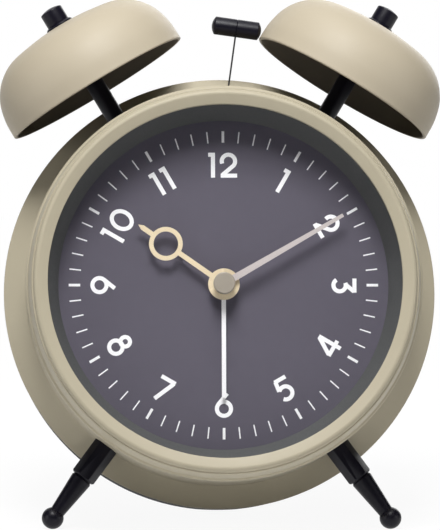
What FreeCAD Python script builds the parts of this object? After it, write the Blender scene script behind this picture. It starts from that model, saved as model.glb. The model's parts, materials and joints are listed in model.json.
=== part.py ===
import FreeCAD, Part
import math
import os

os.makedirs("parts", exist_ok=True)

# Table alarm clock with two bells, a striker between them and two ball-footed legs.
# It is modelled upright: X to the right, Y to the back, Z up, with the origin in the middle of
# the front lip. At the end it leans back until both balls and the rear cover touch the table.
# Lengths are millimetres. Angles are degrees clockwise from 12, seen from the front.

# Fits
SHAFT_GAP = 0.05
SEAT_GAP = 0.05
LOOSE_GAP = 0.3
HEAD_GAP = 0.02

# Solids that are joined run this far into each other, and cutting tools this far past a face
OVERLAP = 0.5
# Length of a tool that cuts right through the clock
THROUGH = 200.0
# The middle of a quarter round stands back from its corner by this share of its radius
QUARTER = 1 - math.sqrt(0.5)

# Drum and its flared rear rim
SHEET = 0.7
DRUM_RADIUS = 45.05
DRUM_FRONT = 4.0
FLARE_START = 29.2
FLARE_BEND = 1.0
FLARE_RISE = 5.18
RIM_DEPTH = 33.4
RIM_BEAD = 0.4
LUG_ANGLES = (60, 180, 300)
LUG_INSET = 5.15
LUG_WIDTH = 8.0
LUG_THICK = 1.4
LUG_BACK = 28.4

# Front ring
LIP_WIDTH = 4.1
LIP_FACE = 2.2
LIP_FALL = 0.35
LIP_ROUND = 1.1
LIP_EDGE = 0.35
LIP_THICK = 1.9
GROOVE_WIDTH = 0.35
GROOVE_DEPTH = 0.2
SKIRT_RISE = 0.85
SKIRT_ROUND = 1.05
SKIRT_DEPTH = 7.6
SKIRT_SHOULDER = 0.75
SKIRT_HEM = 0.4
SKIRT_HEM_RISE = 0.15

# Glass, cone ring and dial
GLASS_THICK = 1.8
DIAL_DEPTH = 11.6
DIAL_THICK = 0.5
RING_SLOPE = 2.75
RING_WALL = 1.2
GLASS_EDGE_GAP = 0.9

# Hands
HOUR_ANGLE = 305.0
MINUTE_ANGLE = 60.0
ALARM_ANGLE = 180.0
HAND_THICK = 0.35
ALARM_HAND_FRONT = 10.3
HOUR_HAND_FRONT = 9.0
MINUTE_HAND_FRONT = 7.9
ALARM_HUB = 3.0
ALARM_LENGTH = 26.3
ALARM_WIDTH = 1.05
HOUR_HUB = 3.65
HOUR_LENGTH = 24.1
HOUR_WIDTH = 1.15
HOUR_EYE_AT = 16.35
HOUR_EYE_RADIUS = 3.9
HOUR_EYE_STROKE = 1.05
MINUTE_HUB = 2.2
MINUTE_LENGTH = 31.9
MINUTE_ROOT_WIDTH = 1.7
MINUTE_TIP_WIDTH = 0.8
CAP_RADIUS = 2.5
CAP_HEIGHT = 2.0
CAP_EDGE = 0.25

# Arbor and the two pipes that carry the hands
ARBOR_RADIUS = 0.75
PIPE_WALL = 0.5
NECK_WALL = 1.3

# Bells, posts and cap nuts
BELL_ANGLE = 31.0
BELL_DEPTH = 25.7
BELL_RIM_AT = 55.25
BELL_RIM = 22.6
BELL_SHOULDER = 20.9
BELL_SHOULDER_HEIGHT = 9.45
BELL_CROWN = 15.6
BELL_CROWN_HEIGHT = 14.75
BELL_TOP = 3.6
BELL_HEIGHT = 16.9
BELL_WALL = 0.9
BELL_SIDE_BOW = 0.6
BELL_SHOULDER_BOW = 0.4
BELL_CROWN_BOW = 0.42
POST_RADIUS = 2.17
STUD_RADIUS = 1.5
WASHER_RADIUS = 3.35
WASHER_TOP = 2.95
WASHER_THICK = 0.8
NUT_RADIUS = 2.7
NUT_SIDE = 3.45
NUT_DOME = 0.6
POST_NUT_FLATS = 5.5
POST_NUT_THICK = 2.0
STUD_END = 1.0

# Legs
LEG_ANGLE = 143.45
LEG_DEPTH = 25.7
HEX_FLATS = 5.2
HEX_LENGTH = 9.15
HEX_CHAMFER = 0.35
HEX_CHAMFER_LENGTH = 0.6
SHANK_TOP = 2.62
SHANK_END = 1.78
SHANK_COLLAR = 0.3
SHANK_LENGTH = 9.2
BALL_AT = 65.85
BALL_RADIUS = 2.55
LEG_SCREW_RADIUS = 1.45
LEG_SCREW_DEPTH = 6.0
LEG_SCREW_HEAD = 2.8
LEG_SCREW_HEAD_THICK = 1.8
LEG_SCREW_HEAD_ROUND = 0.8
SCREW_SLOT_WIDTH = 0.6
SCREW_SLOT_DEPTH = 0.6

# Hammer and striker
PIVOT_HEIGHT = 33.65
HAMMER_REACH = 28.1
HEAD_RADIUS = 2.1
HEAD_LENGTH = 11.6
HEAD_DOME = 0.8
HEAD_GROOVE = 0.25
WIRE_RADIUS = 0.2
STRIKE_GAP = 0.1
SLOT_MARGIN = 0.7
LEVER_BOSS = 2.0
LEVER_THICK = 2.0
LEVER_ARM = 9.5
LEVER_ARM_HEIGHT = 2.2
LEVER_NECK_WIDTH = 2.0
LEVER_NECK_LENGTH = 1.5
PIVOT_RADIUS = 0.7
BRACKET_SHEET = 0.8
BRACKET_GAP = 7.0
BRACKET_LEFT = 15.5
BRACKET_RIGHT = 5.5
BRACKET_END = 4.0
BRACKET_SCREW_INSET = 2.0
CHEEK_HALF = 1.5
CHEEK_TOP = 2.5
COIL_AT = 8.2
COIL_RADIUS = 3.2
COIL_CORE = 1.4
COIL_FLANGE = 0.5
COIL_FLANGE_LIP = 0.4
STRIKER_SCREW_BITE = 2.0
STRIKER_SCREW_HEAD_THICK = 1.0

# Movement
MOVEMENT_LEFT = 26.0
MOVEMENT_TOP = 19.0
MOVEMENT_BOTTOM = 27.5
MOVEMENT_WALL = 1.4
MOVEMENT_CORNER = 2.5
FRONT_PLATE = 1.5
MID_PLATE_FRONT = 19.4
MID_PLATE = 1.0
REAR_PLATE_FRONT = 27.5
REAR_PLATE = 1.5
MOVEMENT_SCREW_RADIUS = 0.8
MOVEMENT_SCREW_HEAD = 1.6
MOVEMENT_SCREW_INSET = 3.4
MOVEMENT_SCREW_HEAD_THICK = 0.8
MOVEMENT_SCREW_SLOT = 0.4
MOVEMENT_SCREW_BITE = 4.0
CORNER_POST = 1.7

# Wheels: teeth, module and layers
TOOTH_ADDENDUM = 0.8
TOOTH_DEDENDUM = 1.15
TOOTH_BACKLASH = 0.14
PRESSURE_ANGLE = 20.0
MOTION_MODULE = 0.6
TRAIN_MODULE = 0.36
WHEEL_THICK = 1.0
TRAIN_WHEEL_THICK = 0.6
PINION_OVERHANG = 0.2
SMALL_WHEEL_TEETH = 24
ALARM_WHEEL_FRONT = 14.2
HOUR_WHEEL_FRONT = 15.9
MINUTE_WHEEL_FRONT = 17.6
CENTRE_WHEEL_FRONT = 21.2
TRAIN_STEP = 1.5
ALARM_WHEEL_TEETH = 32
ALARM_PINION_TEETH = 16
HOUR_WHEEL_TEETH = 32
MOTION_PINION_TEETH = 8
MOTION_WHEEL_TEETH = 30
CANNON_TEETH = 10
CENTRE_TEETH = 48
THIRD_TEETH = 45
SECOND_TEETH = 36
FOURTH_TEETH = 30
TRAIN_PINION_TEETH = 6
MOTION_DIRECTION = 285.0
ALARM_DIRECTION = 74.0
THIRD_DIRECTION = 200.0
SECOND_DIRECTION = 260.0
FOURTH_DIRECTION = 200.0
ROTOR_DIRECTION = 115.0
STEM_RADIUS = 1.5
TRAIN_ARBOR = 0.7
PIVOT_PIN = 0.4
PIVOT_LENGTH = 0.7
PIVOT_HOLE = 1.0
CENTRE_SEAT = 1.2
COLLAR_RISE = 0.5
STEM_GRIP = 2.0

# Motor and electronics
MAGNET_RADIUS = 2.5
MAGNET_FRONT = 22.2
MAGNET_THICK = 2.8
STATOR_FRONT = 23.25
STATOR_THICK = 0.7
STATOR_WALL = 1.0
STATOR_GAP = 0.4
STATOR_END = 1.6
STATOR_RAIL = 1.2
STATOR_RAIL_GAP = 0.7
MOTOR_COIL_RADIUS = 2.2
MOTOR_COIL_LEFT = -1.0
MOTOR_COIL_LENGTH = 15.0
MOTOR_CORE_WIDTH = 1.6
MOTOR_CORE_TAIL = 3.0
BOARD_FRONT = 25.4
BOARD_THICK = 1.0
BOARD_LEFT = 5.5
BOARD_WIDTH = 18.0
BOARD_BOTTOM = -17.5
BOARD_HEIGHT = 14.0
CRYSTAL_RADIUS = 1.0
CRYSTAL_LENGTH = 6.0
CRYSTAL_INSET = 3.5
CHIP_RADIUS = 2.2
CHIP_THICK = 0.8
CHIP_INSET = 6.3
CHIP_HEIGHT = 8.4

# Rear cover
COVER_STEP = 1.3
COVER_WALL = 1.8
COVER_BACK = 56.0
COVER_CORNER = 3.0
SPIGOT_WALL = 1.5
REST_FLAT = 0.25
POCKET_RADIUS = 34.0
POCKET_FLOOR = 42.0
POCKET_BOTTOM = -7.0
WELL_RADIUS = 3.0
WELL_WALL = 0.9
WELL_FLOOR = 1.6
COVER_SCREW_RADIUS = 1.4
COVER_SCREW_HEAD = 2.7
COVER_SCREW_HEAD_THICK = 1.8
COVER_SCREW_BITE = 2.0
CROSS_WIDTH = 0.6
CROSS_LENGTH = 3.0
CROSS_DEPTH = 0.9
COLUMN_RADIUS = 2.2
COLUMN_SIDE = 21.0
COLUMN_HIGH = 13.0
COLUMN_LOW = -22.0

# Battery bay: one R6 cell lying across the case
CELL_RADIUS = 7.1
CELL_LENGTH = 49.2
CELL_TIP_RADIUS = 2.7
CELL_TIP = 1.2
CELL_ROUND = 0.5
CELL_HEIGHT = -20.0
BAY_END_GAP = 1.6
BAY_SIDE_GAP = 0.9
BAY_WALL = 1.5
DOOR_THICK = 1.6
DOOR_LEDGE = 1.1
DOOR_SWING_GAP = 0.5
DOOR_CORNER = 0.6
DOOR_NECK = 0.1
THUMB_ROOM = 1.0
HINGE_RADIUS = 0.8
HINGE_DROP = 1.1
HINGE_PIN = 0.45
HINGE_PIN_LENGTH = 1.2
KNUCKLE_AT = 17.0
KNUCKLE_WIDTH = 6.0
THUMB_TAB_WIDTH = 10.0
THUMB_TAB = 2.4
CONTACT_SHEET = 0.35
CONTACT_WIDTH = 9.0
CONTACT_MARGIN = 1.5

# Knobs and alarm switch
KNOB_RADIUS = 7.0
KNOB_HEIGHT = 8.0
KNOB_LIFT = 1.3
KNOB_SKIRT = 1.2
KNOB_FLUTES = 18
FLUTE_RADIUS = 0.7
KNOB_EDGE = 0.6
FLUTE_OUT = 0.245
SWITCH_HEIGHT = 25.0
SWITCH_TRAVEL = 3.0
SWITCH_STEM = 2.4
SWITCH_CAP_LENGTH = 7.0
SWITCH_CAP_WIDTH = 4.4
SWITCH_CAP_THICK = 2.0
SWITCH_PLATE_LENGTH = 11.0
SWITCH_PLATE_THICK = 0.8
SWITCH_GROOVES = 3
SWITCH_GROOVE = 0.5
SWITCH_GROOVE_STEP = 1.5

# Where one size sits on another
HAMMER_DEPTH = BELL_DEPTH
DRUM_BORE = DRUM_RADIUS - SHEET
RIM_RADIUS = DRUM_RADIUS + FLARE_RISE
LUG_RADIUS = DRUM_RADIUS - LUG_INSET
LIP_OPENING = DRUM_RADIUS - LIP_WIDTH
SKIRT_RADIUS = DRUM_RADIUS + SKIRT_RISE
SKIRT_FRONT = SKIRT_RADIUS - SKIRT_ROUND
DIAL_VISIBLE = LIP_OPENING - RING_SLOPE
COVER_RADIUS = RIM_RADIUS - COVER_STEP
SPIGOT_RADIUS = DRUM_BORE - LOOSE_GAP
GLASS_RADIUS = DRUM_BORE - GLASS_EDGE_GAP
GLASS_FRONT = LIP_THICK
GLASS_BACK = GLASS_FRONT + GLASS_THICK
RING_FRONT = GLASS_BACK + SEAT_GAP
RING_RADIUS = DRUM_BORE - SEAT_GAP
DIAL_BACK = DIAL_DEPTH + DIAL_THICK
MOVEMENT_FRONT = DIAL_BACK + SEAT_GAP
MOVEMENT_BACK = REAR_PLATE_FRONT + REAR_PLATE
HOUR_PIPE_BORE = ARBOR_RADIUS + SHAFT_GAP
HOUR_PIPE = HOUR_PIPE_BORE + PIPE_WALL
ALARM_PIPE_BORE = HOUR_PIPE + SHAFT_GAP
ALARM_PIPE = ALARM_PIPE_BORE + PIPE_WALL
NECK_BORE = ALARM_PIPE + SHAFT_GAP
NECK_RADIUS = NECK_BORE + NECK_WALL
BELL_INSIDE = BELL_RIM_AT + BELL_HEIGHT - BELL_WALL
WASHER_AT = BELL_RIM_AT + BELL_HEIGHT
NUT_AT = WASHER_AT + WASHER_THICK
STUD_TOP = NUT_AT + NUT_SIDE - STUD_END
POST_NUT_AT = math.sqrt(DRUM_BORE**2 - (POST_NUT_FLATS / math.sqrt(3)) ** 2) - SEAT_GAP
LEG_HEAD_AT = math.sqrt(DRUM_BORE**2 - LEG_SCREW_HEAD**2) - SEAT_GAP
HEX_END = DRUM_RADIUS + HEX_LENGTH
SHANK_FOOT = HEX_END + SHANK_LENGTH
COVER_FRONT = RIM_DEPTH + RIM_BEAD + SEAT_GAP
SPIGOT_FRONT = LUG_BACK + LOOSE_GAP
WELL_BASE = SPIGOT_FRONT
POCKET_BACK = POCKET_FLOOR - COVER_WALL
CELL_TOTAL = CELL_LENGTH + CELL_TIP
BAY_LENGTH = CELL_TOTAL + 2 * BAY_END_GAP
BAY_HEIGHT = 2 * (CELL_RADIUS + BAY_SIDE_GAP)
DOOR_FRONT = COVER_BACK - DOOR_THICK
CELL_DEPTH = DOOR_FRONT - BAY_SIDE_GAP - CELL_RADIUS
BAY_FLOOR = CELL_DEPTH - CELL_RADIUS - SEAT_GAP
HINGE_DEPTH = COVER_BACK - HINGE_RADIUS
DOOR_HEIGHT = BAY_HEIGHT + 2 * DOOR_LEDGE
DOOR_BOTTOM = CELL_HEIGHT - DOOR_HEIGHT / 2
HINGE_HEIGHT = DOOR_BOTTOM - HINGE_DROP
KNOB_FRONT = POCKET_FLOOR + KNOB_LIFT
KNOB_BACK = KNOB_FRONT + KNOB_HEIGHT
STEM_BACK = KNOB_BACK - STEM_GRIP

X_AXIS = FreeCAD.Vector(1, 0, 0)
Y_AXIS = FreeCAD.Vector(0, 1, 0)
Z_AXIS = FreeCAD.Vector(0, 0, 1)
ORIGIN = FreeCAD.Vector(0, 0, 0)
nodes = {}


# Building blocks

def outline(start, *steps):
    """Closed wire in the X-Z half plane. A step is (r, h), or (r, h, r, h) for an arc through the first point."""
    here = FreeCAD.Vector(start[0], 0, start[1])
    first = here
    edges = []
    for step in steps:
        there = FreeCAD.Vector(step[-2], 0, step[-1])
        if len(step) == 4:
            middle = FreeCAD.Vector(step[0], 0, step[1])
            edges.append(Part.Arc(here, middle, there).toShape())
        else:
            edges.append(Part.LineSegment(here, there).toShape())
        here = there
    if here.distanceToPoint(first) > 1e-6:
        edges.append(Part.LineSegment(here, first).toShape())
    return Part.Wire(edges)


def turned(start, *steps):
    """Solid of revolution about Z from an outline of (radius, height) steps."""
    return Part.Face(outline(start, *steps)).revolve(ORIGIN, Z_AXIS, 360)


def dome(radius, base, height, up=1):
    """Steps of a sphere's cap that rises from the given radius to the axis."""
    sphere = (radius**2 + height**2) / (2 * height)
    middle = math.asin(radius / sphere) / 2
    rise = height - sphere * (1 - math.cos(middle))
    return sphere * math.sin(middle), base + up * rise, 0, base + up * height


def into_depth(shape):
    """Turn a shape made along +Z so that it runs to the back, along +Y."""
    turned_shape = shape.copy()
    turned_shape.rotate(ORIGIN, X_AXIS, -90)
    return turned_shape


def turned_deep(start, *steps):
    """Solid of revolution about the clock's own axis from (radius, depth) steps."""
    return into_depth(turned(start, *steps))


def rod(radius, front, back, at=(0, 0)):
    """Cylinder along the depth, at the (x, z) place."""
    return Part.makeCylinder(radius, back - front, FreeCAD.Vector(at[0], front, at[1]), Y_AXIS)


def tube(radius, hole, front, back, at=(0, 0)):
    return rod(radius, front, back, at).cut(rod(hole, -THROUGH, THROUGH, at))


def upright(radius, low, high):
    """Cylinder along Z."""
    return Part.makeCylinder(radius, high - low, FreeCAD.Vector(0, 0, low), Z_AXIS)


def block(low, high):
    size = FreeCAD.Vector(*high) - FreeCAD.Vector(*low)
    return Part.makeBox(size.x, size.y, size.z, FreeCAD.Vector(*low))


def at_angle(shape, angle, depth=0):
    """Swing a shape made along +Z to a clock angle and move it to a depth."""
    placed = shape.copy()
    placed.rotate(ORIGIN, Y_AXIS, angle)
    placed.translate(FreeCAD.Vector(0, depth, 0))
    return placed


def on_circle(radius, angle, centre=(0, 0)):
    """Point at a clock angle on a circle in the X-Z plane."""
    turn = math.radians(angle)
    return (centre[0] + radius * math.sin(turn), centre[1] + radius * math.cos(turn))


def flat_shape(points, front, thick):
    """Plate from (x, z) points, from the given depth backwards."""
    ring = [FreeCAD.Vector(x, front, z) for x, z in points]
    return Part.Face(Part.makePolygon(ring + ring[:1])).extrude(FreeCAD.Vector(0, thick, 0))


def fused(*shapes):
    return shapes[0].multiFuse(list(shapes[1:])).removeSplitter()


def hexagon_rod(flats, low, high):
    corner = flats / math.sqrt(3)
    ring = [FreeCAD.Vector(*on_circle(corner, 30 + 60 * k), 0) for k in range(6)]
    for point in ring:
        point.z = low
    return Part.Face(Part.makePolygon(ring + ring[:1])).extrude(FreeCAD.Vector(0, 0, high - low))


def bore(radius, at=(0, 0)):
    """Tool that drills right through the clock along its depth."""
    return rod(radius, -THROUGH, THROUGH, at)


def soften(solid, size, wanted):
    """Round the edges that the test picks."""
    edges = [edge for edge in solid.Edges if wanted(edge)]
    return solid.makeFillet(size, edges)


def runs_deep(edge):
    """Whether an edge runs from front to back."""
    return abs(edge.tangentAt(edge.FirstParameter).y) > 0.99


# Toothed wheels

def involute(angle):
    return math.tan(angle) - angle


def pitch_radius(teeth, module):
    return teeth * module / 2


def toothed(teeth, module, phase, front, thick, at):
    """Wheel with involute teeth. The phase is the clock angle of one tooth, in radians."""
    pitch = pitch_radius(teeth, module)
    tip = pitch + TOOTH_ADDENDUM * module
    root = pitch - TOOTH_DEDENDUM * module
    base = pitch * math.cos(math.radians(PRESSURE_ANGLE))
    half_pitch = (math.pi / 2 - TOOTH_BACKLASH) / teeth + involute(math.radians(PRESSURE_ANGLE))
    small = teeth < SMALL_WHEEL_TEETH
    radii = sorted({root, max(base, root), (pitch + tip) / 2, tip}) if small else [root, tip]

    def half_angle(radius):
        return half_pitch - involute(math.acos(base / max(radius, base)))

    points = []
    for tooth in range(teeth):
        middle = phase + 2 * math.pi * tooth / teeth
        flank = [(radius, half_angle(radius)) for radius in radii]
        for radius, half in flank:
            points.append(on_circle(radius, math.degrees(middle - half), at))
        for radius, half in reversed(flank):
            points.append(on_circle(radius, math.degrees(middle + half), at))
    return flat_shape(points, front, thick)


def meshed(direction, phase, driver_teeth, driven_teeth):
    """Phase of the driven wheel so that its gap meets the driver's tooth. Radians."""
    line = math.radians(direction)
    return line + math.pi - driver_teeth / driven_teeth * (phase - line) - math.pi / driven_teeth


# Case

def case_shell():
    bead_at = RIM_RADIUS - RIM_BEAD
    slope = math.atan2(bead_at - DRUM_RADIUS, RIM_DEPTH - FLARE_START)
    bend = FLARE_BEND * math.tan(slope / 2)
    centre = (DRUM_RADIUS + FLARE_BEND, FLARE_START - bend)

    def on_bend(radius, angle):
        return (centre[0] - radius * math.cos(angle), centre[1] + radius * math.sin(angle))

    inner = FLARE_BEND + SHEET
    sheet = turned_deep(
        (DRUM_RADIUS, DRUM_FRONT),
        (DRUM_RADIUS, centre[1]),
        (*on_bend(FLARE_BEND, slope / 2), *on_bend(FLARE_BEND, slope)),
        (bead_at, RIM_DEPTH),
        (bead_at - SHEET * math.cos(slope), RIM_DEPTH + SHEET * math.sin(slope)),
        on_bend(inner, slope),
        (*on_bend(inner, slope / 2), DRUM_BORE, centre[1]),
        (DRUM_BORE, DRUM_FRONT),
    )
    bead = into_depth(Part.makeTorus(bead_at, RIM_BEAD, FreeCAD.Vector(0, 0, RIM_DEPTH), Z_AXIS))
    lugs = [cover_lug(angle) for angle in LUG_ANGLES]
    shell = fused(sheet, bead, *lugs)
    for side in (-1, 1):
        stud_hole = upright(STUD_RADIUS + SHAFT_GAP, 0, THROUGH)
        screw_hole = upright(LEG_SCREW_RADIUS + SHAFT_GAP, 0, THROUGH)
        shell = shell.cut(at_angle(stud_hole, side * BELL_ANGLE, BELL_DEPTH))
        shell = shell.cut(at_angle(screw_hole, side * LEG_ANGLE, LEG_DEPTH))
    return shell.cut(hammer_slot())


def cover_lug(angle):
    """Tab welded inside the drum, tapped for a cover screw."""
    tab = block(
        (-LUG_WIDTH / 2, LUG_BACK - LUG_THICK, LUG_RADIUS - LUG_WIDTH / 2),
        (LUG_WIDTH / 2, LUG_BACK, DRUM_RADIUS),
    ).common(bore(DRUM_RADIUS - SHEET / 2))
    return at_angle(tab.cut(bore(COVER_SCREW_RADIUS, (0, LUG_RADIUS))), angle)


def hammer_slot():
    """Slot in the top of the drum, as long as the wire's swing needs."""
    reach = (DRUM_RADIUS - PIVOT_HEIGHT) * math.tan(math.radians(HAMMER_SWING))
    half = reach + WIRE_RADIUS + SLOT_MARGIN
    width = WIRE_RADIUS + SLOT_MARGIN
    return block(
        (-half, HAMMER_DEPTH - width, PIVOT_HEIGHT), (half, HAMMER_DEPTH + width, DRUM_RADIUS + OVERLAP)
    )


def bezel_ring():
    """Pressed ring: a lip whose face falls inwards, a groove and a skirt over the drum."""
    crest = LIP_OPENING + LIP_FACE
    foot = crest + LIP_ROUND
    groove = foot + GROOVE_WIDTH
    hem = SKIRT_RADIUS - SKIRT_HEM_RISE
    inside = DRUM_RADIUS + SEAT_GAP
    seat = GLASS_RADIUS + SEAT_GAP
    return turned_deep(
        (LIP_OPENING, LIP_THICK),
        (LIP_OPENING, LIP_FALL + LIP_EDGE),
        (LIP_OPENING + LIP_EDGE * QUARTER, LIP_FALL + LIP_EDGE * QUARTER, LIP_OPENING + LIP_EDGE, LIP_FALL),
        (crest, 0),
        (foot - LIP_ROUND * QUARTER, LIP_ROUND * QUARTER, foot, LIP_ROUND),
        (foot + GROOVE_WIDTH / 2, LIP_ROUND + GROOVE_DEPTH),
        (groove, LIP_ROUND),
        (SKIRT_FRONT, LIP_ROUND + SKIRT_SHOULDER),
        (hem, SKIRT_DEPTH - 2 * SKIRT_HEM),
        (SKIRT_RADIUS, SKIRT_DEPTH - SKIRT_HEM, hem, SKIRT_DEPTH),
        (inside, SKIRT_DEPTH),
        (inside, DRUM_FRONT - SEAT_GAP),
        (seat, DRUM_FRONT - SEAT_GAP),
        (seat, LIP_THICK),
    )


def glass_lens():
    return rod(GLASS_RADIUS, GLASS_FRONT, GLASS_BACK)


def dial_ring():
    """Thin cone from the glass down to the dial, with a flange at each end."""
    step = GLASS_RADIUS
    flange = DIAL_DEPTH - RING_WALL
    return turned_deep(
        (LIP_OPENING + SEAT_GAP, RING_FRONT),
        (step, RING_FRONT),
        (step, RING_FRONT + RING_WALL),
        (LIP_OPENING + RING_WALL, RING_FRONT + RING_WALL),
        (DIAL_VISIBLE + 1.5 * RING_WALL, flange),
        (RING_RADIUS, flange),
        (RING_RADIUS, DIAL_DEPTH),
        (DIAL_VISIBLE, DIAL_DEPTH),
    )


def dial_plate():
    return tube(RING_RADIUS, NECK_RADIUS + SEAT_GAP, DIAL_DEPTH, DIAL_BACK)


# Hands, each made pointing to 12 and then turned

def tapering(start, end, root_width, tip_width, front, thick):
    return flat_shape(
        [(-root_width / 2, start), (-tip_width / 2, end), (tip_width / 2, end), (root_width / 2, start)],
        front,
        thick,
    )


def hour_hand():
    front, back = HOUR_HAND_FRONT, HOUR_HAND_FRONT + HAND_THICK
    eye = tube(HOUR_EYE_RADIUS, HOUR_EYE_RADIUS - HOUR_EYE_STROKE, front, back, (0, HOUR_EYE_AT))
    inner_end = HOUR_EYE_AT - HOUR_EYE_RADIUS + HOUR_EYE_STROKE / 2
    outer_start = HOUR_EYE_AT + HOUR_EYE_RADIUS - HOUR_EYE_STROKE / 2
    arm = tapering(0, inner_end, HOUR_WIDTH, HOUR_WIDTH, front, HAND_THICK)
    tip = flat_shape(
        [
            (-HOUR_WIDTH / 2, outer_start),
            (-HOUR_WIDTH / 2, HOUR_LENGTH - HOUR_WIDTH),
            (0, HOUR_LENGTH),
            (HOUR_WIDTH / 2, HOUR_LENGTH - HOUR_WIDTH),
            (HOUR_WIDTH / 2, outer_start),
        ],
        front,
        HAND_THICK,
    )
    hand = fused(rod(HOUR_HUB, front, back), arm, eye, tip)
    return at_angle(hand.cut(bore(HOUR_PIPE)), HOUR_ANGLE)


def minute_hand():
    front, back = MINUTE_HAND_FRONT, MINUTE_HAND_FRONT + HAND_THICK
    arm = tapering(0, MINUTE_LENGTH, MINUTE_ROOT_WIDTH, MINUTE_TIP_WIDTH, front, HAND_THICK)
    hand = fused(rod(MINUTE_HUB, front, back), arm)
    return at_angle(hand.cut(bore(ARBOR_RADIUS)), MINUTE_ANGLE)


def alarm_hand():
    front, back = ALARM_HAND_FRONT, ALARM_HAND_FRONT + HAND_THICK
    arm = tapering(0, ALARM_LENGTH, ALARM_WIDTH, ALARM_WIDTH, front, HAND_THICK)
    hand = fused(rod(ALARM_HUB, front, back), arm)
    return at_angle(hand.cut(bore(ALARM_PIPE)), ALARM_ANGLE)


def hand_cap():
    back = MINUTE_HAND_FRONT - SEAT_GAP
    front = back - CAP_HEIGHT
    cap = turned_deep(
        (0, front),
        (CAP_RADIUS - CAP_EDGE, front),
        (CAP_RADIUS - CAP_EDGE * QUARTER, front + CAP_EDGE * QUARTER, CAP_RADIUS, front + CAP_EDGE),
        (CAP_RADIUS, back),
        (0, back),
    )
    return cap.cut(rod(ARBOR_RADIUS, front + CAP_HEIGHT / 2, THROUGH))


# Bells and their posts, made along +Z from the clock's axis

def bell_outline(inset):
    """Steps up the bell's side, over its shoulder and across its crown, moved in by the inset."""
    side = ((BELL_RIM + BELL_SHOULDER) / 2 + BELL_SIDE_BOW, BELL_SHOULDER_HEIGHT / 2)
    shoulder = (BELL_SHOULDER, BELL_SHOULDER_HEIGHT)
    turn = (
        (BELL_SHOULDER + BELL_CROWN) / 2 + BELL_SHOULDER_BOW,
        (BELL_SHOULDER_HEIGHT + BELL_CROWN_HEIGHT) / 2 + BELL_SHOULDER_BOW,
    )
    crown = (BELL_CROWN, BELL_CROWN_HEIGHT)
    cap = ((BELL_CROWN + BELL_TOP) / 2, (BELL_CROWN_HEIGHT + BELL_HEIGHT) / 2 + BELL_CROWN_BOW)
    # Which way the wall faces at each point, in degrees above level
    facings = (5, 22, 45, 64, 82)

    def moved_in(point, facing):
        turn_up = math.radians(facing)
        return point[0] - inset * math.cos(turn_up), BELL_RIM_AT + point[1] - inset * math.sin(turn_up)

    places = [moved_in(point, facing) for point, facing in zip((side, shoulder, turn, crown, cap), facings)]
    top = BELL_RIM_AT + BELL_HEIGHT - inset
    return (
        (*places[0], *places[1]),
        (*places[2], *places[3]),
        (*places[4], BELL_TOP, top),
        (0, top),
    )


def bell():
    inner_rim = BELL_RIM - BELL_WALL
    below = BELL_RIM_AT - OVERLAP
    outside = turned((0, BELL_RIM_AT), (BELL_RIM, BELL_RIM_AT), *bell_outline(0))
    inside = turned((0, below), (inner_rim, below), (inner_rim, BELL_RIM_AT), *bell_outline(BELL_WALL))
    return outside.cut(inside).cut(upright(STUD_RADIUS + SHAFT_GAP, 0, THROUGH))


def bell_post():
    """Round post, saddled onto the drum, with a stud at each end."""
    post = upright(POST_RADIUS, DRUM_BORE, BELL_INSIDE).cut(bore(DRUM_RADIUS))
    stud = upright(STUD_RADIUS, POST_NUT_AT - POST_NUT_THICK - STUD_END, STUD_TOP)
    return fused(post, stud)


def bell_washer():
    return turned(
        (STUD_RADIUS + SHAFT_GAP, WASHER_AT),
        (WASHER_RADIUS, WASHER_AT),
        (WASHER_RADIUS, WASHER_AT + WASHER_THICK / 2),
        (WASHER_TOP, NUT_AT),
        (STUD_RADIUS + SHAFT_GAP, NUT_AT),
    )


def bell_nut():
    side_end = NUT_AT + NUT_SIDE
    nut = turned(
        (0, NUT_AT), (NUT_RADIUS, NUT_AT), (NUT_RADIUS, side_end), dome(NUT_RADIUS, side_end, NUT_DOME)
    )
    return nut.cut(upright(STUD_RADIUS, 0, STUD_TOP))


def post_nut():
    nut = hexagon_rod(POST_NUT_FLATS, POST_NUT_AT - POST_NUT_THICK, POST_NUT_AT)
    return nut.cut(upright(STUD_RADIUS, 0, DRUM_RADIUS))


# Legs, made along +Z from the clock's axis and then swung down

def leg():
    corner = HEX_FLATS / math.sqrt(3)
    bar = hexagon_rod(HEX_FLATS, DRUM_BORE, HEX_END).cut(bore(DRUM_RADIUS))
    chamfer = turned(
        (0, DRUM_BORE),
        (corner + OVERLAP, DRUM_BORE),
        (corner + OVERLAP, HEX_END - HEX_CHAMFER - HEX_CHAMFER_LENGTH),
        (corner - HEX_CHAMFER, HEX_END),
        (0, HEX_END),
    )
    shank = turned(
        (0, HEX_END - OVERLAP),
        (SHANK_TOP, HEX_END - OVERLAP),
        (SHANK_TOP, HEX_END + SHANK_COLLAR),
        (SHANK_END, SHANK_FOOT),
        (SHANK_END, BALL_AT),
        (0, BALL_AT),
    )
    ball = Part.makeSphere(BALL_RADIUS, FreeCAD.Vector(0, 0, BALL_AT))
    hole = upright(LEG_SCREW_RADIUS, 0, DRUM_RADIUS + LEG_SCREW_DEPTH)
    return fused(bar.common(chamfer), shank, ball).cut(hole)


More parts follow.
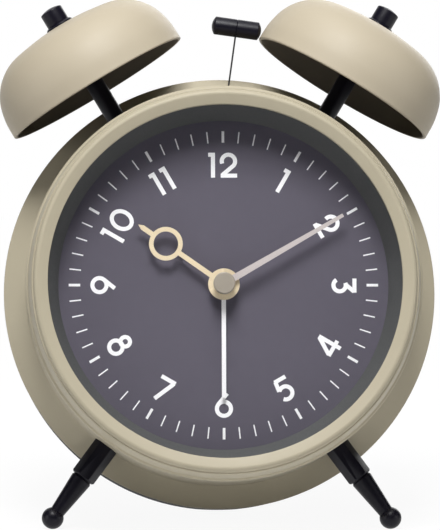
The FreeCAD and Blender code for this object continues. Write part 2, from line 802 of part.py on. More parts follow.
def leg_screw():
    head_inner = LEG_HEAD_AT - LEG_SCREW_HEAD_THICK
    set_back = LEG_SCREW_HEAD_ROUND * QUARTER
    head = turned(
        (0, head_inner),
        (LEG_SCREW_HEAD - LEG_SCREW_HEAD_ROUND, head_inner),
        (LEG_SCREW_HEAD - set_back, head_inner + set_back, LEG_SCREW_HEAD, head_inner + LEG_SCREW_HEAD_ROUND),
        (LEG_SCREW_HEAD, LEG_HEAD_AT),
        (0, LEG_HEAD_AT),
    )
    shank = upright(LEG_SCREW_RADIUS, head_inner + OVERLAP, DRUM_RADIUS + LEG_SCREW_DEPTH - LOOSE_GAP)
    half = SCREW_SLOT_WIDTH / 2
    slot = block((-LEG_SCREW_HEAD, -half, 0), (LEG_SCREW_HEAD, half, head_inner + SCREW_SLOT_DEPTH))
    return fused(head, shank).cut(slot)


# Hammer and striker. Each moving piece is made upright over the pivot and then swung

def hammer_head():
    """Cylinder with domed ends and a shallow groove, across the top of the wire."""
    side = HEAD_LENGTH / 2 - HEAD_DOME
    body = turned(
        (0, 0),
        (HEAD_RADIUS - HEAD_GROOVE / 2, 0),
        (HEAD_RADIUS, HEAD_GROOVE / 2),
        (HEAD_RADIUS, side),
        dome(HEAD_RADIUS, side, HEAD_DOME),
    )
    body = fused(body, body.mirror(ORIGIN, Z_AXIS))
    body.rotate(ORIGIN, Y_AXIS, 90)
    body = body.cut(upright(WIRE_RADIUS, -THROUGH, HEAD_RADIUS / 2))
    body.translate(FreeCAD.Vector(0, 0, HAMMER_REACH))
    return body


def hammer_wire():
    return upright(WIRE_RADIUS, LEVER_BOSS / 2 + PIVOT_RADIUS, HAMMER_REACH + HEAD_RADIUS / 2)


def hammer_lever():
    """Boss on the pivot with an iron arm over the coil."""
    half = LEVER_THICK / 2
    boss = rod(LEVER_BOSS, -half, half)
    neck_half = LEVER_NECK_WIDTH / 2
    neck = block((-neck_half, -half, 0), (neck_half, half, LEVER_BOSS + LEVER_NECK_LENGTH))
    arm = block((-LEVER_ARM - COIL_CORE, -half, -LEVER_ARM_HEIGHT / 2), (0, half, LEVER_ARM_HEIGHT / 2))
    lever = fused(boss, neck, arm).cut(bore(PIVOT_RADIUS + SHAFT_GAP))
    wire_hole = upright(WIRE_RADIUS, LEVER_BOSS / 2 + PIVOT_RADIUS, THROUGH)
    return lever.cut(wire_hole)


def swung(shape, angle):
    """Turn a striker piece by its swing and put it over the pivot."""
    placed = at_angle(shape, angle, HAMMER_DEPTH)
    placed.translate(FreeCAD.Vector(0, 0, PIVOT_HEIGHT))
    return placed


def swing_to_bell(head, target):
    """Swing at which the head stands one strike gap off the bell."""
    low, high = 0.0, 30.0
    while high - low > 0.01:
        middle = (low + high) / 2
        gap = swung(head, middle).distToShape(target)[0]
        if gap > STRIKE_GAP:
            low = middle
        else:
            high = middle
    return low


def hammer_pivot_pin():
    half = BRACKET_GAP / 2 + BRACKET_SHEET
    return rod(PIVOT_RADIUS, HAMMER_DEPTH - half, HAMMER_DEPTH + half, (0, PIVOT_HEIGHT))


def bracket_floor():
    return MOVEMENT_TOP + SEAT_GAP


def striker_bracket():
    """Sheet bracket folded into two cheeks that hold the pivot pin, on a base that carries the coil."""
    floor = bracket_floor()
    half = BRACKET_GAP / 2
    low_front = HAMMER_DEPTH - half - BRACKET_SHEET
    low_back = HAMMER_DEPTH + half + BRACKET_SHEET
    base = block((-BRACKET_LEFT, low_front, floor), (BRACKET_RIGHT, low_back, floor + BRACKET_SHEET))
    cheeks = []
    for front in (low_front, HAMMER_DEPTH + half):
        profile = [
            (-BRACKET_LEFT, floor),
            (BRACKET_RIGHT, floor),
            (2 * CHEEK_HALF, PIVOT_HEIGHT + CHEEK_HALF),
            (CHEEK_HALF, PIVOT_HEIGHT + CHEEK_TOP),
            (-CHEEK_HALF, PIVOT_HEIGHT + CHEEK_TOP),
            (-2 * CHEEK_HALF, PIVOT_HEIGHT),
            (-BRACKET_LEFT, floor + BRACKET_END),
        ]
        cheeks.append(flat_shape(profile, front, BRACKET_SHEET))
    bracket = fused(base, *cheeks)
    bracket = bracket.cut(bore(PIVOT_RADIUS, (0, PIVOT_HEIGHT)))
    for x in striker_screw_places():
        bracket = bracket.cut(bracket_bore(MOVEMENT_SCREW_RADIUS + SHAFT_GAP, x))
    return bracket.cut(bracket_bore(COIL_CORE / 2, -COIL_AT))


def bracket_bore(radius, x):
    """Tool that drills down through the bracket's base and the movement's top wall."""
    hole = upright(radius, 0, PIVOT_HEIGHT)
    hole.translate(FreeCAD.Vector(x, HAMMER_DEPTH, 0))
    return hole


def striker_screw_places():
    return (-BRACKET_LEFT + BRACKET_SCREW_INSET, BRACKET_RIGHT - BRACKET_SCREW_INSET)


def lowest_arm():
    """Height of the lever's arm above the coil when the hammer is on the left bell."""
    turn = math.radians(HAMMER_SWING)
    return PIVOT_HEIGHT - LEVER_ARM * math.sin(turn) - LEVER_ARM_HEIGHT / 2 - COIL_CORE * math.sin(turn)


def striker_core():
    floor = bracket_floor() + BRACKET_SHEET
    core = upright(COIL_CORE, floor, lowest_arm() - LOOSE_GAP)
    foot = upright(COIL_CORE / 2, floor - BRACKET_SHEET, floor)
    core = fused(core, foot)
    core.translate(FreeCAD.Vector(-COIL_AT, HAMMER_DEPTH, 0))
    return core


def striker_coil():
    low = bracket_floor() + BRACKET_SHEET + SEAT_GAP
    high = lowest_arm() - 2 * LOOSE_GAP
    coil = turned(
        (COIL_CORE + SHAFT_GAP, low),
        (COIL_RADIUS, low),
        (COIL_RADIUS, low + COIL_FLANGE),
        (COIL_RADIUS - COIL_FLANGE_LIP, low + COIL_FLANGE),
        (COIL_RADIUS - COIL_FLANGE_LIP, high - COIL_FLANGE),
        (COIL_RADIUS, high - COIL_FLANGE),
        (COIL_RADIUS, high),
        (COIL_CORE + SHAFT_GAP, high),
    )
    coil.translate(FreeCAD.Vector(-COIL_AT, HAMMER_DEPTH, 0))
    return coil


def striker_screws():
    """Two small screws through the bracket's base into the movement's top wall."""
    floor = bracket_floor() + BRACKET_SHEET
    screws = []
    for x in striker_screw_places():
        screw = upright(MOVEMENT_SCREW_RADIUS, floor - STRIKER_SCREW_BITE, floor + OVERLAP)
        head = upright(MOVEMENT_SCREW_HEAD, floor + HEAD_GAP, floor + STRIKER_SCREW_HEAD_THICK)
        screw = fused(screw, head)
        screw.translate(FreeCAD.Vector(x, HAMMER_DEPTH, 0))
        screws.append(screw)
    return Part.makeCompound(screws)


# Wheel places on the plates

def wheel_distance(first, second, module):
    return pitch_radius(first, module) + pitch_radius(second, module)


MOTION_AT = on_circle(wheel_distance(CANNON_TEETH, MOTION_WHEEL_TEETH, MOTION_MODULE), MOTION_DIRECTION)
ALARM_AT = on_circle(wheel_distance(ALARM_PINION_TEETH, ALARM_WHEEL_TEETH, MOTION_MODULE), ALARM_DIRECTION)
THIRD_AT = on_circle(wheel_distance(CENTRE_TEETH, TRAIN_PINION_TEETH, TRAIN_MODULE), THIRD_DIRECTION)
SECOND_AT = on_circle(
    wheel_distance(THIRD_TEETH, TRAIN_PINION_TEETH, TRAIN_MODULE), SECOND_DIRECTION, THIRD_AT
)
FOURTH_AT = on_circle(
    wheel_distance(SECOND_TEETH, TRAIN_PINION_TEETH, TRAIN_MODULE), FOURTH_DIRECTION, SECOND_AT
)
ROTOR_AT = on_circle(
    wheel_distance(FOURTH_TEETH, TRAIN_PINION_TEETH, TRAIN_MODULE), ROTOR_DIRECTION, FOURTH_AT
)
TRAIN_PLACES = (THIRD_AT, SECOND_AT, FOURTH_AT, ROTOR_AT)


# Movement case

def movement_outline(inset, front, back):
    """Box of the movement with rounded corners, inset all round."""
    box = block(
        (-MOVEMENT_LEFT + inset, front, -MOVEMENT_BOTTOM + inset),
        (MOVEMENT_LEFT - inset, back, MOVEMENT_TOP - inset),
    )
    radius = max(MOVEMENT_CORNER - inset, 0.5)
    return soften(box, radius, runs_deep)


def corner_places():
    """Screw places in the movement's four corners."""
    side = MOVEMENT_LEFT - MOVEMENT_SCREW_INSET
    high = MOVEMENT_TOP - MOVEMENT_SCREW_INSET
    low = -MOVEMENT_BOTTOM + MOVEMENT_SCREW_INSET
    return ((-side, high), (side, high), (-side, low), (side, low))


def movement_front_case():
    plate_back = MOVEMENT_FRONT + FRONT_PLATE
    shell = movement_outline(0, MOVEMENT_FRONT, REAR_PLATE_FRONT)
    shell = shell.cut(movement_outline(MOVEMENT_WALL, plate_back, REAR_PLATE_FRONT + OVERLAP))
    posts = [rod(CORNER_POST, MOVEMENT_FRONT, MID_PLATE_FRONT, place) for place in corner_places()]
    neck = rod(NECK_RADIUS, DIAL_DEPTH - SEAT_GAP, plate_back)
    shell = fused(shell, neck, *posts).cut(bore(NECK_BORE))
    for place in (MOTION_AT, ALARM_AT):
        shell = shell.cut(rod(PIVOT_PIN + SHAFT_GAP, plate_back - PIVOT_HOLE, plate_back + OVERLAP, place))
    for place in corner_places():
        bottom = MID_PLATE_FRONT - MOVEMENT_SCREW_BITE - PIVOT_HOLE
        shell = shell.cut(rod(MOVEMENT_SCREW_RADIUS, bottom, REAR_PLATE_FRONT, place))
    for x in striker_screw_places():
        shell = shell.cut(bracket_bore(MOVEMENT_SCREW_RADIUS, x))
    return shell


def movement_mid_plate():
    back = MID_PLATE_FRONT + MID_PLATE
    plate = movement_outline(MOVEMENT_WALL + SEAT_GAP, MID_PLATE_FRONT, back)
    plate = plate.cut(bore(ARBOR_RADIUS + SHAFT_GAP))
    for place in (MOTION_AT, ALARM_AT):
        plate = plate.cut(bore(STEM_RADIUS + SHAFT_GAP, place))
    for place in TRAIN_PLACES:
        plate = plate.cut(rod(PIVOT_PIN + SHAFT_GAP, back - PIVOT_LENGTH - SEAT_GAP, THROUGH, place))
    for place in corner_places():
        plate = plate.cut(bore(MOVEMENT_SCREW_RADIUS + SHAFT_GAP, place))
    return plate


def movement_rear_case():
    """Rear plate with a rim that locates it, bearings for the train and holes for both stems."""
    front = REAR_PLATE_FRONT
    plate = movement_outline(0, front, MOVEMENT_BACK)
    post_front = MID_PLATE_FRONT + MID_PLATE
    posts = [rod(CORNER_POST, post_front, front + OVERLAP, place) for place in corner_places()]
    plate = fused(plate, *posts)
    for place in (MOTION_AT, ALARM_AT):
        plate = plate.cut(bore(STEM_RADIUS + SHAFT_GAP, place))
    for place in TRAIN_PLACES + ((0, 0),):
        plate = plate.cut(rod(PIVOT_PIN + SHAFT_GAP, front - OVERLAP, front + PIVOT_LENGTH + SEAT_GAP, place))
    for place in corner_places():
        plate = plate.cut(bore(MOVEMENT_SCREW_RADIUS + SHAFT_GAP, place))
        seat = MOVEMENT_BACK - MOVEMENT_SCREW_HEAD_THICK
        plate = plate.cut(rod(MOVEMENT_SCREW_HEAD + SHAFT_GAP, seat, THROUGH, place))
    return plate


def movement_screws():
    screws = []
    seat = MOVEMENT_BACK - MOVEMENT_SCREW_HEAD_THICK
    half = MOVEMENT_SCREW_SLOT / 2
    for x, z in corner_places():
        shank = rod(MOVEMENT_SCREW_RADIUS, MID_PLATE_FRONT - MOVEMENT_SCREW_BITE, seat + HEAD_GAP, (x, z))
        head = rod(MOVEMENT_SCREW_HEAD, seat + HEAD_GAP, MOVEMENT_BACK, (x, z))
        slot = block(
            (x - MOVEMENT_SCREW_HEAD, MOVEMENT_BACK - MOVEMENT_SCREW_SLOT, z - half),
            (x + MOVEMENT_SCREW_HEAD, THROUGH, z + half),
        )
        screws.append(fused(shank, head).cut(slot))
    return Part.makeCompound(screws)


# Motion work and alarm setting

def minute_arbor():
    """Arbor that carries the minute hand, with the cannon pinion and the seat of the centre wheel."""
    back = REAR_PLATE_FRONT
    pinion_front = MINUTE_WHEEL_FRONT - PINION_OVERHANG
    pinion = toothed(
        CANNON_TEETH, MOTION_MODULE, 0, pinion_front, WHEEL_THICK + 2 * PINION_OVERHANG, (0, 0)
    )
    shaft = rod(ARBOR_RADIUS, MINUTE_HAND_FRONT - CAP_HEIGHT / 2, back - SEAT_GAP)
    pivot = rod(PIVOT_PIN, back - OVERLAP, back + PIVOT_LENGTH)
    seat = rod(CENTRE_SEAT, CENTRE_WHEEL_FRONT - PINION_OVERHANG, CENTRE_WHEEL_FRONT + TRAIN_WHEEL_THICK)
    collar = rod(CENTRE_SEAT + COLLAR_RISE, CENTRE_WHEEL_FRONT - COLLAR_RISE, CENTRE_WHEEL_FRONT - SEAT_GAP)
    return fused(shaft, pivot, pinion, seat, collar)


def motion_phase():
    return meshed(MOTION_DIRECTION, 0, CANNON_TEETH, MOTION_WHEEL_TEETH)


def motion_wheel():
    """Setting stem with the motion wheel and its pinion; the time knob sits on its end."""
    pinion_front = HOUR_WHEEL_FRONT - PINION_OVERHANG
    wheel = toothed(
        MOTION_WHEEL_TEETH, MOTION_MODULE, motion_phase(), MINUTE_WHEEL_FRONT, WHEEL_THICK, MOTION_AT
    )
    pinion_thick = MINUTE_WHEEL_FRONT - pinion_front + PINION_OVERHANG
    pinion = toothed(MOTION_PINION_TEETH, MOTION_MODULE, 0, pinion_front, pinion_thick, MOTION_AT)
    plate_back = MOVEMENT_FRONT + FRONT_PLATE
    shaft = rod(TRAIN_ARBOR, plate_back + SEAT_GAP, MINUTE_WHEEL_FRONT, MOTION_AT)
    pivot = rod(PIVOT_PIN, plate_back - PIVOT_HOLE + SEAT_GAP, plate_back + OVERLAP, MOTION_AT)
    stem = rod(STEM_RADIUS, MINUTE_WHEEL_FRONT, STEM_BACK, MOTION_AT)
    return fused(shaft, pivot, pinion, wheel, stem)


def hour_wheel():
    direction = MOTION_DIRECTION + 180
    phase = meshed(direction, 0, MOTION_PINION_TEETH, HOUR_WHEEL_TEETH)
    wheel = toothed(HOUR_WHEEL_TEETH, MOTION_MODULE, phase, HOUR_WHEEL_FRONT, WHEEL_THICK, (0, 0))
    pipe = rod(HOUR_PIPE, HOUR_HAND_FRONT, HOUR_WHEEL_FRONT + OVERLAP)
    return fused(wheel, pipe).cut(bore(HOUR_PIPE_BORE))


def alarm_wheel():
    phase = meshed(ALARM_DIRECTION + 180, 0, ALARM_PINION_TEETH, ALARM_WHEEL_TEETH)
    wheel = toothed(ALARM_WHEEL_TEETH, MOTION_MODULE, phase, ALARM_WHEEL_FRONT, WHEEL_THICK, (0, 0))
    pipe = rod(ALARM_PIPE, ALARM_HAND_FRONT, ALARM_WHEEL_FRONT + OVERLAP)
    return fused(wheel, pipe).cut(bore(ALARM_PIPE_BORE))


def alarm_arbor():
    """Alarm setting stem with its pinion; the alarm knob sits on its end."""
    pinion_front = ALARM_WHEEL_FRONT - PINION_OVERHANG
    pinion = toothed(
        ALARM_PINION_TEETH, MOTION_MODULE, 0, pinion_front, WHEEL_THICK + 2 * PINION_OVERHANG, ALARM_AT
    )
    plate_back = MOVEMENT_FRONT + FRONT_PLATE
    pivot = rod(PIVOT_PIN, plate_back - PIVOT_HOLE + SEAT_GAP, pinion_front + OVERLAP, ALARM_AT)
    stem = rod(STEM_RADIUS, ALARM_WHEEL_FRONT, STEM_BACK, ALARM_AT)
    return fused(pivot, pinion, stem)


# Going train, from the rotor down to the centre wheel

def train_layer(step):
    return CENTRE_WHEEL_FRONT + step * TRAIN_STEP


def centre_wheel():
    """Friction wheel that drives the minute arbor."""
    wheel = toothed(CENTRE_TEETH, TRAIN_MODULE, 0, train_layer(0), TRAIN_WHEEL_THICK, (0, 0))
    return wheel.cut(bore(CENTRE_SEAT + SHAFT_GAP))


def train_arbor(place, step, teeth, wheel_phase, pinion_phase):
    """Arbor between mid plate and rear plate, with a wheel and the pinion one layer in front of it."""
    front = MID_PLATE_FRONT + MID_PLATE
    back = REAR_PLATE_FRONT
    wheel = toothed(teeth, TRAIN_MODULE, wheel_phase, train_layer(step), TRAIN_WHEEL_THICK, place)
    pinion = train_pinion(place, step - 1, pinion_phase, train_layer(step) + PINION_OVERHANG)
    shaft = rod(TRAIN_ARBOR, front + SEAT_GAP, back - SEAT_GAP, place)
    pivots = rod(PIVOT_PIN, front - PIVOT_LENGTH, back + PIVOT_LENGTH, place)
    return fused(shaft, pivots, pinion, wheel)


def train_pinion(place, step, phase, back):
    front = train_layer(step) - PINION_OVERHANG
    return toothed(TRAIN_PINION_TEETH, TRAIN_MODULE, phase, front, back - front, place)


THIRD_PINION_PHASE = meshed(THIRD_DIRECTION, 0, CENTRE_TEETH, TRAIN_PINION_TEETH)
SECOND_PINION_PHASE = meshed(SECOND_DIRECTION, 0, THIRD_TEETH, TRAIN_PINION_TEETH)
FOURTH_PINION_PHASE = meshed(FOURTH_DIRECTION, 0, SECOND_TEETH, TRAIN_PINION_TEETH)
ROTOR_PINION_PHASE = meshed(ROTOR_DIRECTION, 0, FOURTH_TEETH, TRAIN_PINION_TEETH)


def rotor():
    """Magnet on an arbor, with the pinion that drives the fourth wheel."""
    front = MID_PLATE_FRONT + MID_PLATE
    back = REAR_PLATE_FRONT
    magnet = rod(MAGNET_RADIUS, MAGNET_FRONT, MAGNET_FRONT + MAGNET_THICK, ROTOR_AT)
    pinion_back = train_layer(3) + TRAIN_WHEEL_THICK + PINION_OVERHANG
    pinion = train_pinion(ROTOR_AT, 3, ROTOR_PINION_PHASE, pinion_back)
    shaft = rod(TRAIN_ARBOR, front + SEAT_GAP, back - SEAT_GAP, ROTOR_AT)
    pivots = rod(PIVOT_PIN, front - PIVOT_LENGTH, back + PIVOT_LENGTH, ROTOR_AT)
    return fused(shaft, pivots, magnet, pinion)


# Motor and electronics

def core_bounds():
    """Left and right end of the coil's core, and its middle height."""
    left = ROTOR_AT[0] + MAGNET_RADIUS + STATOR_GAP + STATOR_WALL
    return left, MOTOR_COIL_LEFT + MOTOR_COIL_LENGTH + MOTOR_CORE_TAIL, ROTOR_AT[1]


def stator_plate():
    """Iron plate round the rotor, whose arm runs through the coil and back below it."""
    back = STATOR_FRONT + STATOR_THICK
    left, right, middle = core_bounds()
    hole = MAGNET_RADIUS + STATOR_GAP
    half = hole + STATOR_WALL
    low = middle - MOTOR_COIL_RADIUS - STATOR_RAIL_GAP - STATOR_RAIL
    core_half = MOTOR_CORE_WIDTH / 2
    ring = rod(half, STATOR_FRONT, back, ROTOR_AT)
    foot = block((ROTOR_AT[0] - half, STATOR_FRONT, low), (ROTOR_AT[0] + half, back, middle))
    core = block((left - OVERLAP, STATOR_FRONT, middle - core_half), (right, back, middle + core_half))
    end = block((right - STATOR_END, STATOR_FRONT, low), (right, back, middle + core_half))
    rail = block((ROTOR_AT[0], STATOR_FRONT, low), (right, back, low + STATOR_RAIL))
    return fused(ring, foot, core, end, rail).cut(bore(hole, ROTOR_AT))


def motor_coil():
    """Bobbin with its winding, on the stator's core."""
    middle = FreeCAD.Vector(MOTOR_COIL_LEFT, STATOR_FRONT + STATOR_THICK / 2, core_bounds()[2])
    winding = Part.makeCylinder(MOTOR_COIL_RADIUS, MOTOR_COIL_LENGTH, middle, X_AXIS)
    room = SEAT_GAP
    slot = block(
        (-THROUGH, STATOR_FRONT - room, middle.z - MOTOR_CORE_WIDTH / 2 - room),
        (THROUGH, STATOR_FRONT + STATOR_THICK + room, middle.z + MOTOR_CORE_WIDTH / 2 + room),
    )
    return winding.cut(slot)


def circuit_board():
    board = block(
        (BOARD_LEFT, BOARD_FRONT, BOARD_BOTTOM),
        (BOARD_LEFT + BOARD_WIDTH, BOARD_FRONT + BOARD_THICK, BOARD_BOTTOM + BOARD_HEIGHT),
    )
    chip_at = (BOARD_LEFT + BOARD_WIDTH - CHIP_INSET, BOARD_BOTTOM + CHIP_HEIGHT)
    chip = rod(CHIP_RADIUS, BOARD_FRONT - CHIP_THICK, BOARD_FRONT + OVERLAP, chip_at)
    return fused(board, chip)


def quartz_crystal():
    depth = BOARD_FRONT - CRYSTAL_RADIUS - SEAT_GAP
    bottom = BOARD_BOTTOM + (BOARD_HEIGHT - CRYSTAL_LENGTH) / 2
    low = FreeCAD.Vector(BOARD_LEFT + CRYSTAL_INSET, depth, bottom)
    return Part.makeCylinder(CRYSTAL_RADIUS, CRYSTAL_LENGTH, low, Z_AXIS)


# Rear cover

def pocket_shape(inset, front, back):
    """D-shaped recess for the knobs: a circle with a straight lower side."""
    radius = POCKET_RADIUS + inset
    low = POCKET_BOTTOM - inset
    return rod(radius, front, back).common(block((-THROUGH, front, low), (THROUGH, back, THROUGH)))


def bay_block(inset, front, back):
    """Box of the battery bay, grown by the inset."""
    half = BAY_LENGTH / 2 + inset
    high = BAY_HEIGHT / 2 + inset
    return block((-half, front, CELL_HEIGHT - high), (half, back, CELL_HEIGHT + high))


def well_places():
    return [on_circle(LUG_RADIUS, angle) for angle in LUG_ANGLES]


def rear_cover():
    corner = COVER_CORNER * QUARTER
    inner_radius = COVER_RADIUS - COVER_WALL
    inner_back = COVER_BACK - COVER_WALL
    inner_corner = COVER_CORNER - COVER_WALL
    inset = inner_corner * QUARTER
    cover = turned_deep(
        (0, COVER_BACK),
        (COVER_RADIUS - COVER_CORNER, COVER_BACK),
        (COVER_RADIUS - corner, COVER_BACK - corner, COVER_RADIUS, COVER_BACK - COVER_CORNER),
        (COVER_RADIUS, COVER_FRONT),
        (SPIGOT_RADIUS, COVER_FRONT),
        (SPIGOT_RADIUS, SPIGOT_FRONT),
        (SPIGOT_RADIUS - SPIGOT_WALL, SPIGOT_FRONT),
        (SPIGOT_RADIUS - SPIGOT_WALL, COVER_FRONT + COVER_WALL),
        (inner_radius, COVER_FRONT + COVER_WALL),
        (inner_radius, inner_back - inner_corner),
        (inner_radius - inset, inner_back - inset, inner_radius - inner_corner, inner_back),
        (0, inner_back),
    )
    joint = inner_back + OVERLAP
    pocket_wall = pocket_shape(COVER_WALL, POCKET_BACK, joint)
    bay_wall = bay_block(DOOR_LEDGE + BAY_WALL, BAY_FLOOR - BAY_WALL, joint)
    wells = [rod(WELL_RADIUS + WELL_WALL, WELL_BASE, joint, place) for place in well_places()]
    columns = [
        rod(COLUMN_RADIUS, MOVEMENT_BACK + SEAT_GAP, back, (side * COLUMN_SIDE, height))
        for side in (-1, 1)
        for height, back in ((COLUMN_HIGH, POCKET_BACK + OVERLAP), (COLUMN_LOW, BAY_FLOOR - OVERLAP))
    ]
    cover = fused(cover, pocket_wall, bay_wall, *wells, *columns)
    cover = cover.cut(pocket_shape(0, POCKET_FLOOR, THROUGH))
    cover = cover.cut(bay_block(0, BAY_FLOOR, THROUGH))
    cover = cover.cut(bay_block(DOOR_LEDGE + LOOSE_GAP, DOOR_FRONT - SEAT_GAP, THROUGH))
    for place in well_places():
        cover = cover.cut(rod(WELL_RADIUS, WELL_BASE + WELL_FLOOR, THROUGH, place))
        cover = cover.cut(bore(COVER_SCREW_RADIUS + SHAFT_GAP, place))
    for place in (MOTION_AT, ALARM_AT):
        cover = cover.cut(bore(STEM_RADIUS + LOOSE_GAP, place))
    cuts = fused(hinge_notches(), hinge_relief(), thumb_notch(), switch_slot())
    return cover.cut(cuts).cut(rest_cut())


def hinge_notches():
    """Room for the door's knuckles and holes for its pins, in the cover's rear wall."""
    cuts = []
    for side in (-1, 1):
        middle = side * KNUCKLE_AT
        half = KNUCKLE_WIDTH / 2 + LOOSE_GAP
        low = HINGE_HEIGHT - HINGE_RADIUS - LOOSE_GAP
        cuts.append(
            block((middle - half, DOOR_FRONT - SEAT_GAP, low), (middle + half, THROUGH, DOOR_BOTTOM))
        )
        half += HINGE_PIN_LENGTH
        start = FreeCAD.Vector(middle - half, HINGE_DEPTH, HINGE_HEIGHT)
        cuts.append(Part.makeCylinder(HINGE_PIN + SHAFT_GAP, 2 * half, start, X_AXIS))
    return fused(*cuts)


def hinge_relief():
    """Room for the door's lower edge, which turns past the cover as the door opens."""
    half = BAY_LENGTH / 2 + DOOR_LEDGE + LOOSE_GAP
    return block(
        (-half, DOOR_FRONT - SEAT_GAP, DOOR_BOTTOM - DOOR_SWING_GAP), (half, THROUGH, DOOR_BOTTOM)
    )


def thumb_notch():
    half = THUMB_TAB_WIDTH / 2 + LOOSE_GAP
    low = DOOR_BOTTOM + DOOR_HEIGHT - THUMB_ROOM
    return block((-half, DOOR_FRONT - SEAT_GAP, low), (half, THROUGH, POCKET_BOTTOM + THUMB_ROOM))


def switch_slot():
    half = SWITCH_STEM / 2 + LOOSE_GAP
    return block(
        (-SWITCH_TRAVEL / 2 - half, POCKET_BACK - OVERLAP, SWITCH_HEIGHT - half),
        (SWITCH_TRAVEL / 2 + half, POCKET_FLOOR + OVERLAP, SWITCH_HEIGHT + half),
    )


def cover_screws():
    screws = []
    seat = WELL_BASE + WELL_FLOOR
    top = seat + COVER_SCREW_HEAD_THICK
    long, short = CROSS_LENGTH / 2, CROSS_WIDTH / 2
    for x, z in well_places():
        head = rod(COVER_SCREW_HEAD, seat + HEAD_GAP, top, (x, z))
        shank = rod(COVER_SCREW_RADIUS, LUG_BACK - LUG_THICK - COVER_SCREW_BITE, seat + OVERLAP, (x, z))
        cross = fused(
            block((x - long, top - CROSS_DEPTH, z - short), (x + long, THROUGH, z + short)),
            block((x - short, top - CROSS_DEPTH, z - long), (x + short, THROUGH, z + long)),
        )
        screws.append(fused(head, shank).cut(cross))
    return Part.makeCompound(screws)


# Battery bay

def battery_cell():
    start = FreeCAD.Vector(-CELL_TOTAL / 2, CELL_DEPTH, CELL_HEIGHT)
    can = Part.makeCylinder(CELL_RADIUS, CELL_LENGTH, start, X_AXIS)
    can = soften(can, CELL_ROUND, lambda edge: isinstance(edge.Curve, Part.Circle))
    tip_start = start + X_AXIS * (CELL_LENGTH - OVERLAP)
    tip = Part.makeCylinder(CELL_TIP_RADIUS, CELL_TIP + OVERLAP, tip_start, X_AXIS)
    return fused(can, tip)


def battery_contact(side):
    """Bowed leaf between the cell and the end wall of the bay."""
    wall = BAY_LENGTH / 2 - SEAT_GAP
    half = CONTACT_WIDTH / 2
    low = CELL_DEPTH - half
    plate = block(
        (wall - CONTACT_SHEET, low, CELL_HEIGHT - half), (wall, CELL_DEPTH + half, CELL_HEIGHT + half)
    )
    reach = BAY_END_GAP - CONTACT_SHEET - SEAT_GAP
    crest = wall - reach
    centre_line = [(wall - CONTACT_SHEET / 2, -half), (crest, 0), (wall - CONTACT_SHEET / 2, half)]
    leaf_points = [FreeCAD.Vector(x, 0, CELL_HEIGHT + z) for x, z in centre_line]
    back_points = [FreeCAD.Vector(x + CONTACT_SHEET, 0, CELL_HEIGHT + z) for x, z in centre_line]
    front_arc = Part.Arc(*leaf_points).toShape()
    back_arc = Part.Arc(*back_points).toShape()
    ends = [
        Part.LineSegment(leaf_points[2], back_points[2]).toShape(),
        Part.LineSegment(back_points[0], leaf_points[0]).toShape(),
    ]
    leaf = Part.Face(Part.Wire(Part.__sortEdges__([front_arc, ends[0], back_arc, ends[1]])))
    leaf = leaf.extrude(FreeCAD.Vector(0, CONTACT_WIDTH - 2 * CONTACT_MARGIN, 0))
    leaf.translate(FreeCAD.Vector(0, low + CONTACT_MARGIN, 0))
    room = block((-wall, 0, -THROUGH), (wall, THROUGH, THROUGH))
    contact = fused(plate, leaf.common(room))
    if side < 0:
        contact = contact.mirror(ORIGIN, X_AXIS)
    return contact


def battery_door():
    """Plate over the bay with two knuckles on pins below and a thumb tab above."""
    half = BAY_LENGTH / 2 + DOOR_LEDGE
    top = DOOR_BOTTOM + DOOR_HEIGHT
    plate = block((-half, DOOR_FRONT, DOOR_BOTTOM), (half, COVER_BACK, top))
    plate = soften(plate, DOOR_CORNER, runs_deep)
    tab_half = THUMB_TAB_WIDTH / 2
    tab = block((-tab_half, DOOR_FRONT, top - OVERLAP), (tab_half, COVER_BACK, top + THUMB_TAB))
    pieces = [plate, tab]
    for side in (-1, 1):
        left = side * KNUCKLE_AT - KNUCKLE_WIDTH / 2
        start = FreeCAD.Vector(left, HINGE_DEPTH, HINGE_HEIGHT)
        pieces.append(Part.makeCylinder(HINGE_RADIUS, KNUCKLE_WIDTH, start, X_AXIS))
        pieces.append(
            block(
                (left, DOOR_FRONT, HINGE_HEIGHT),
                (left + KNUCKLE_WIDTH, COVER_BACK, DOOR_BOTTOM + DOOR_NECK),
            )
        )
        pin_start = start - X_AXIS * HINGE_PIN_LENGTH
        pin_length = KNUCKLE_WIDTH + 2 * HINGE_PIN_LENGTH
        pieces.append(Part.makeCylinder(HINGE_PIN, pin_length, pin_start, X_AXIS))
    return fused(*pieces)


# Knobs and switch

def knob(place):
    """Fluted knob with a plain skirt, pressed on its stem."""
    body = turned_deep(
        (0, KNOB_FRONT),
        (KNOB_RADIUS, KNOB_FRONT),
        (KNOB_RADIUS, KNOB_BACK - KNOB_EDGE),
        (KNOB_RADIUS - KNOB_EDGE, KNOB_BACK),
        (0, KNOB_BACK),
    )
    flutes = []
    for number in range(KNOB_FLUTES):
        at = on_circle(KNOB_RADIUS + FLUTE_OUT, 360 / KNOB_FLUTES * number)
        flutes.append(rod(FLUTE_RADIUS, KNOB_FRONT + KNOB_SKIRT, THROUGH, at))
    body = body.cut(Part.makeCompound(flutes)).cut(rod(STEM_RADIUS, 0, STEM_BACK))
    body.translate(FreeCAD.Vector(place[0], 0, place[1]))
    return body


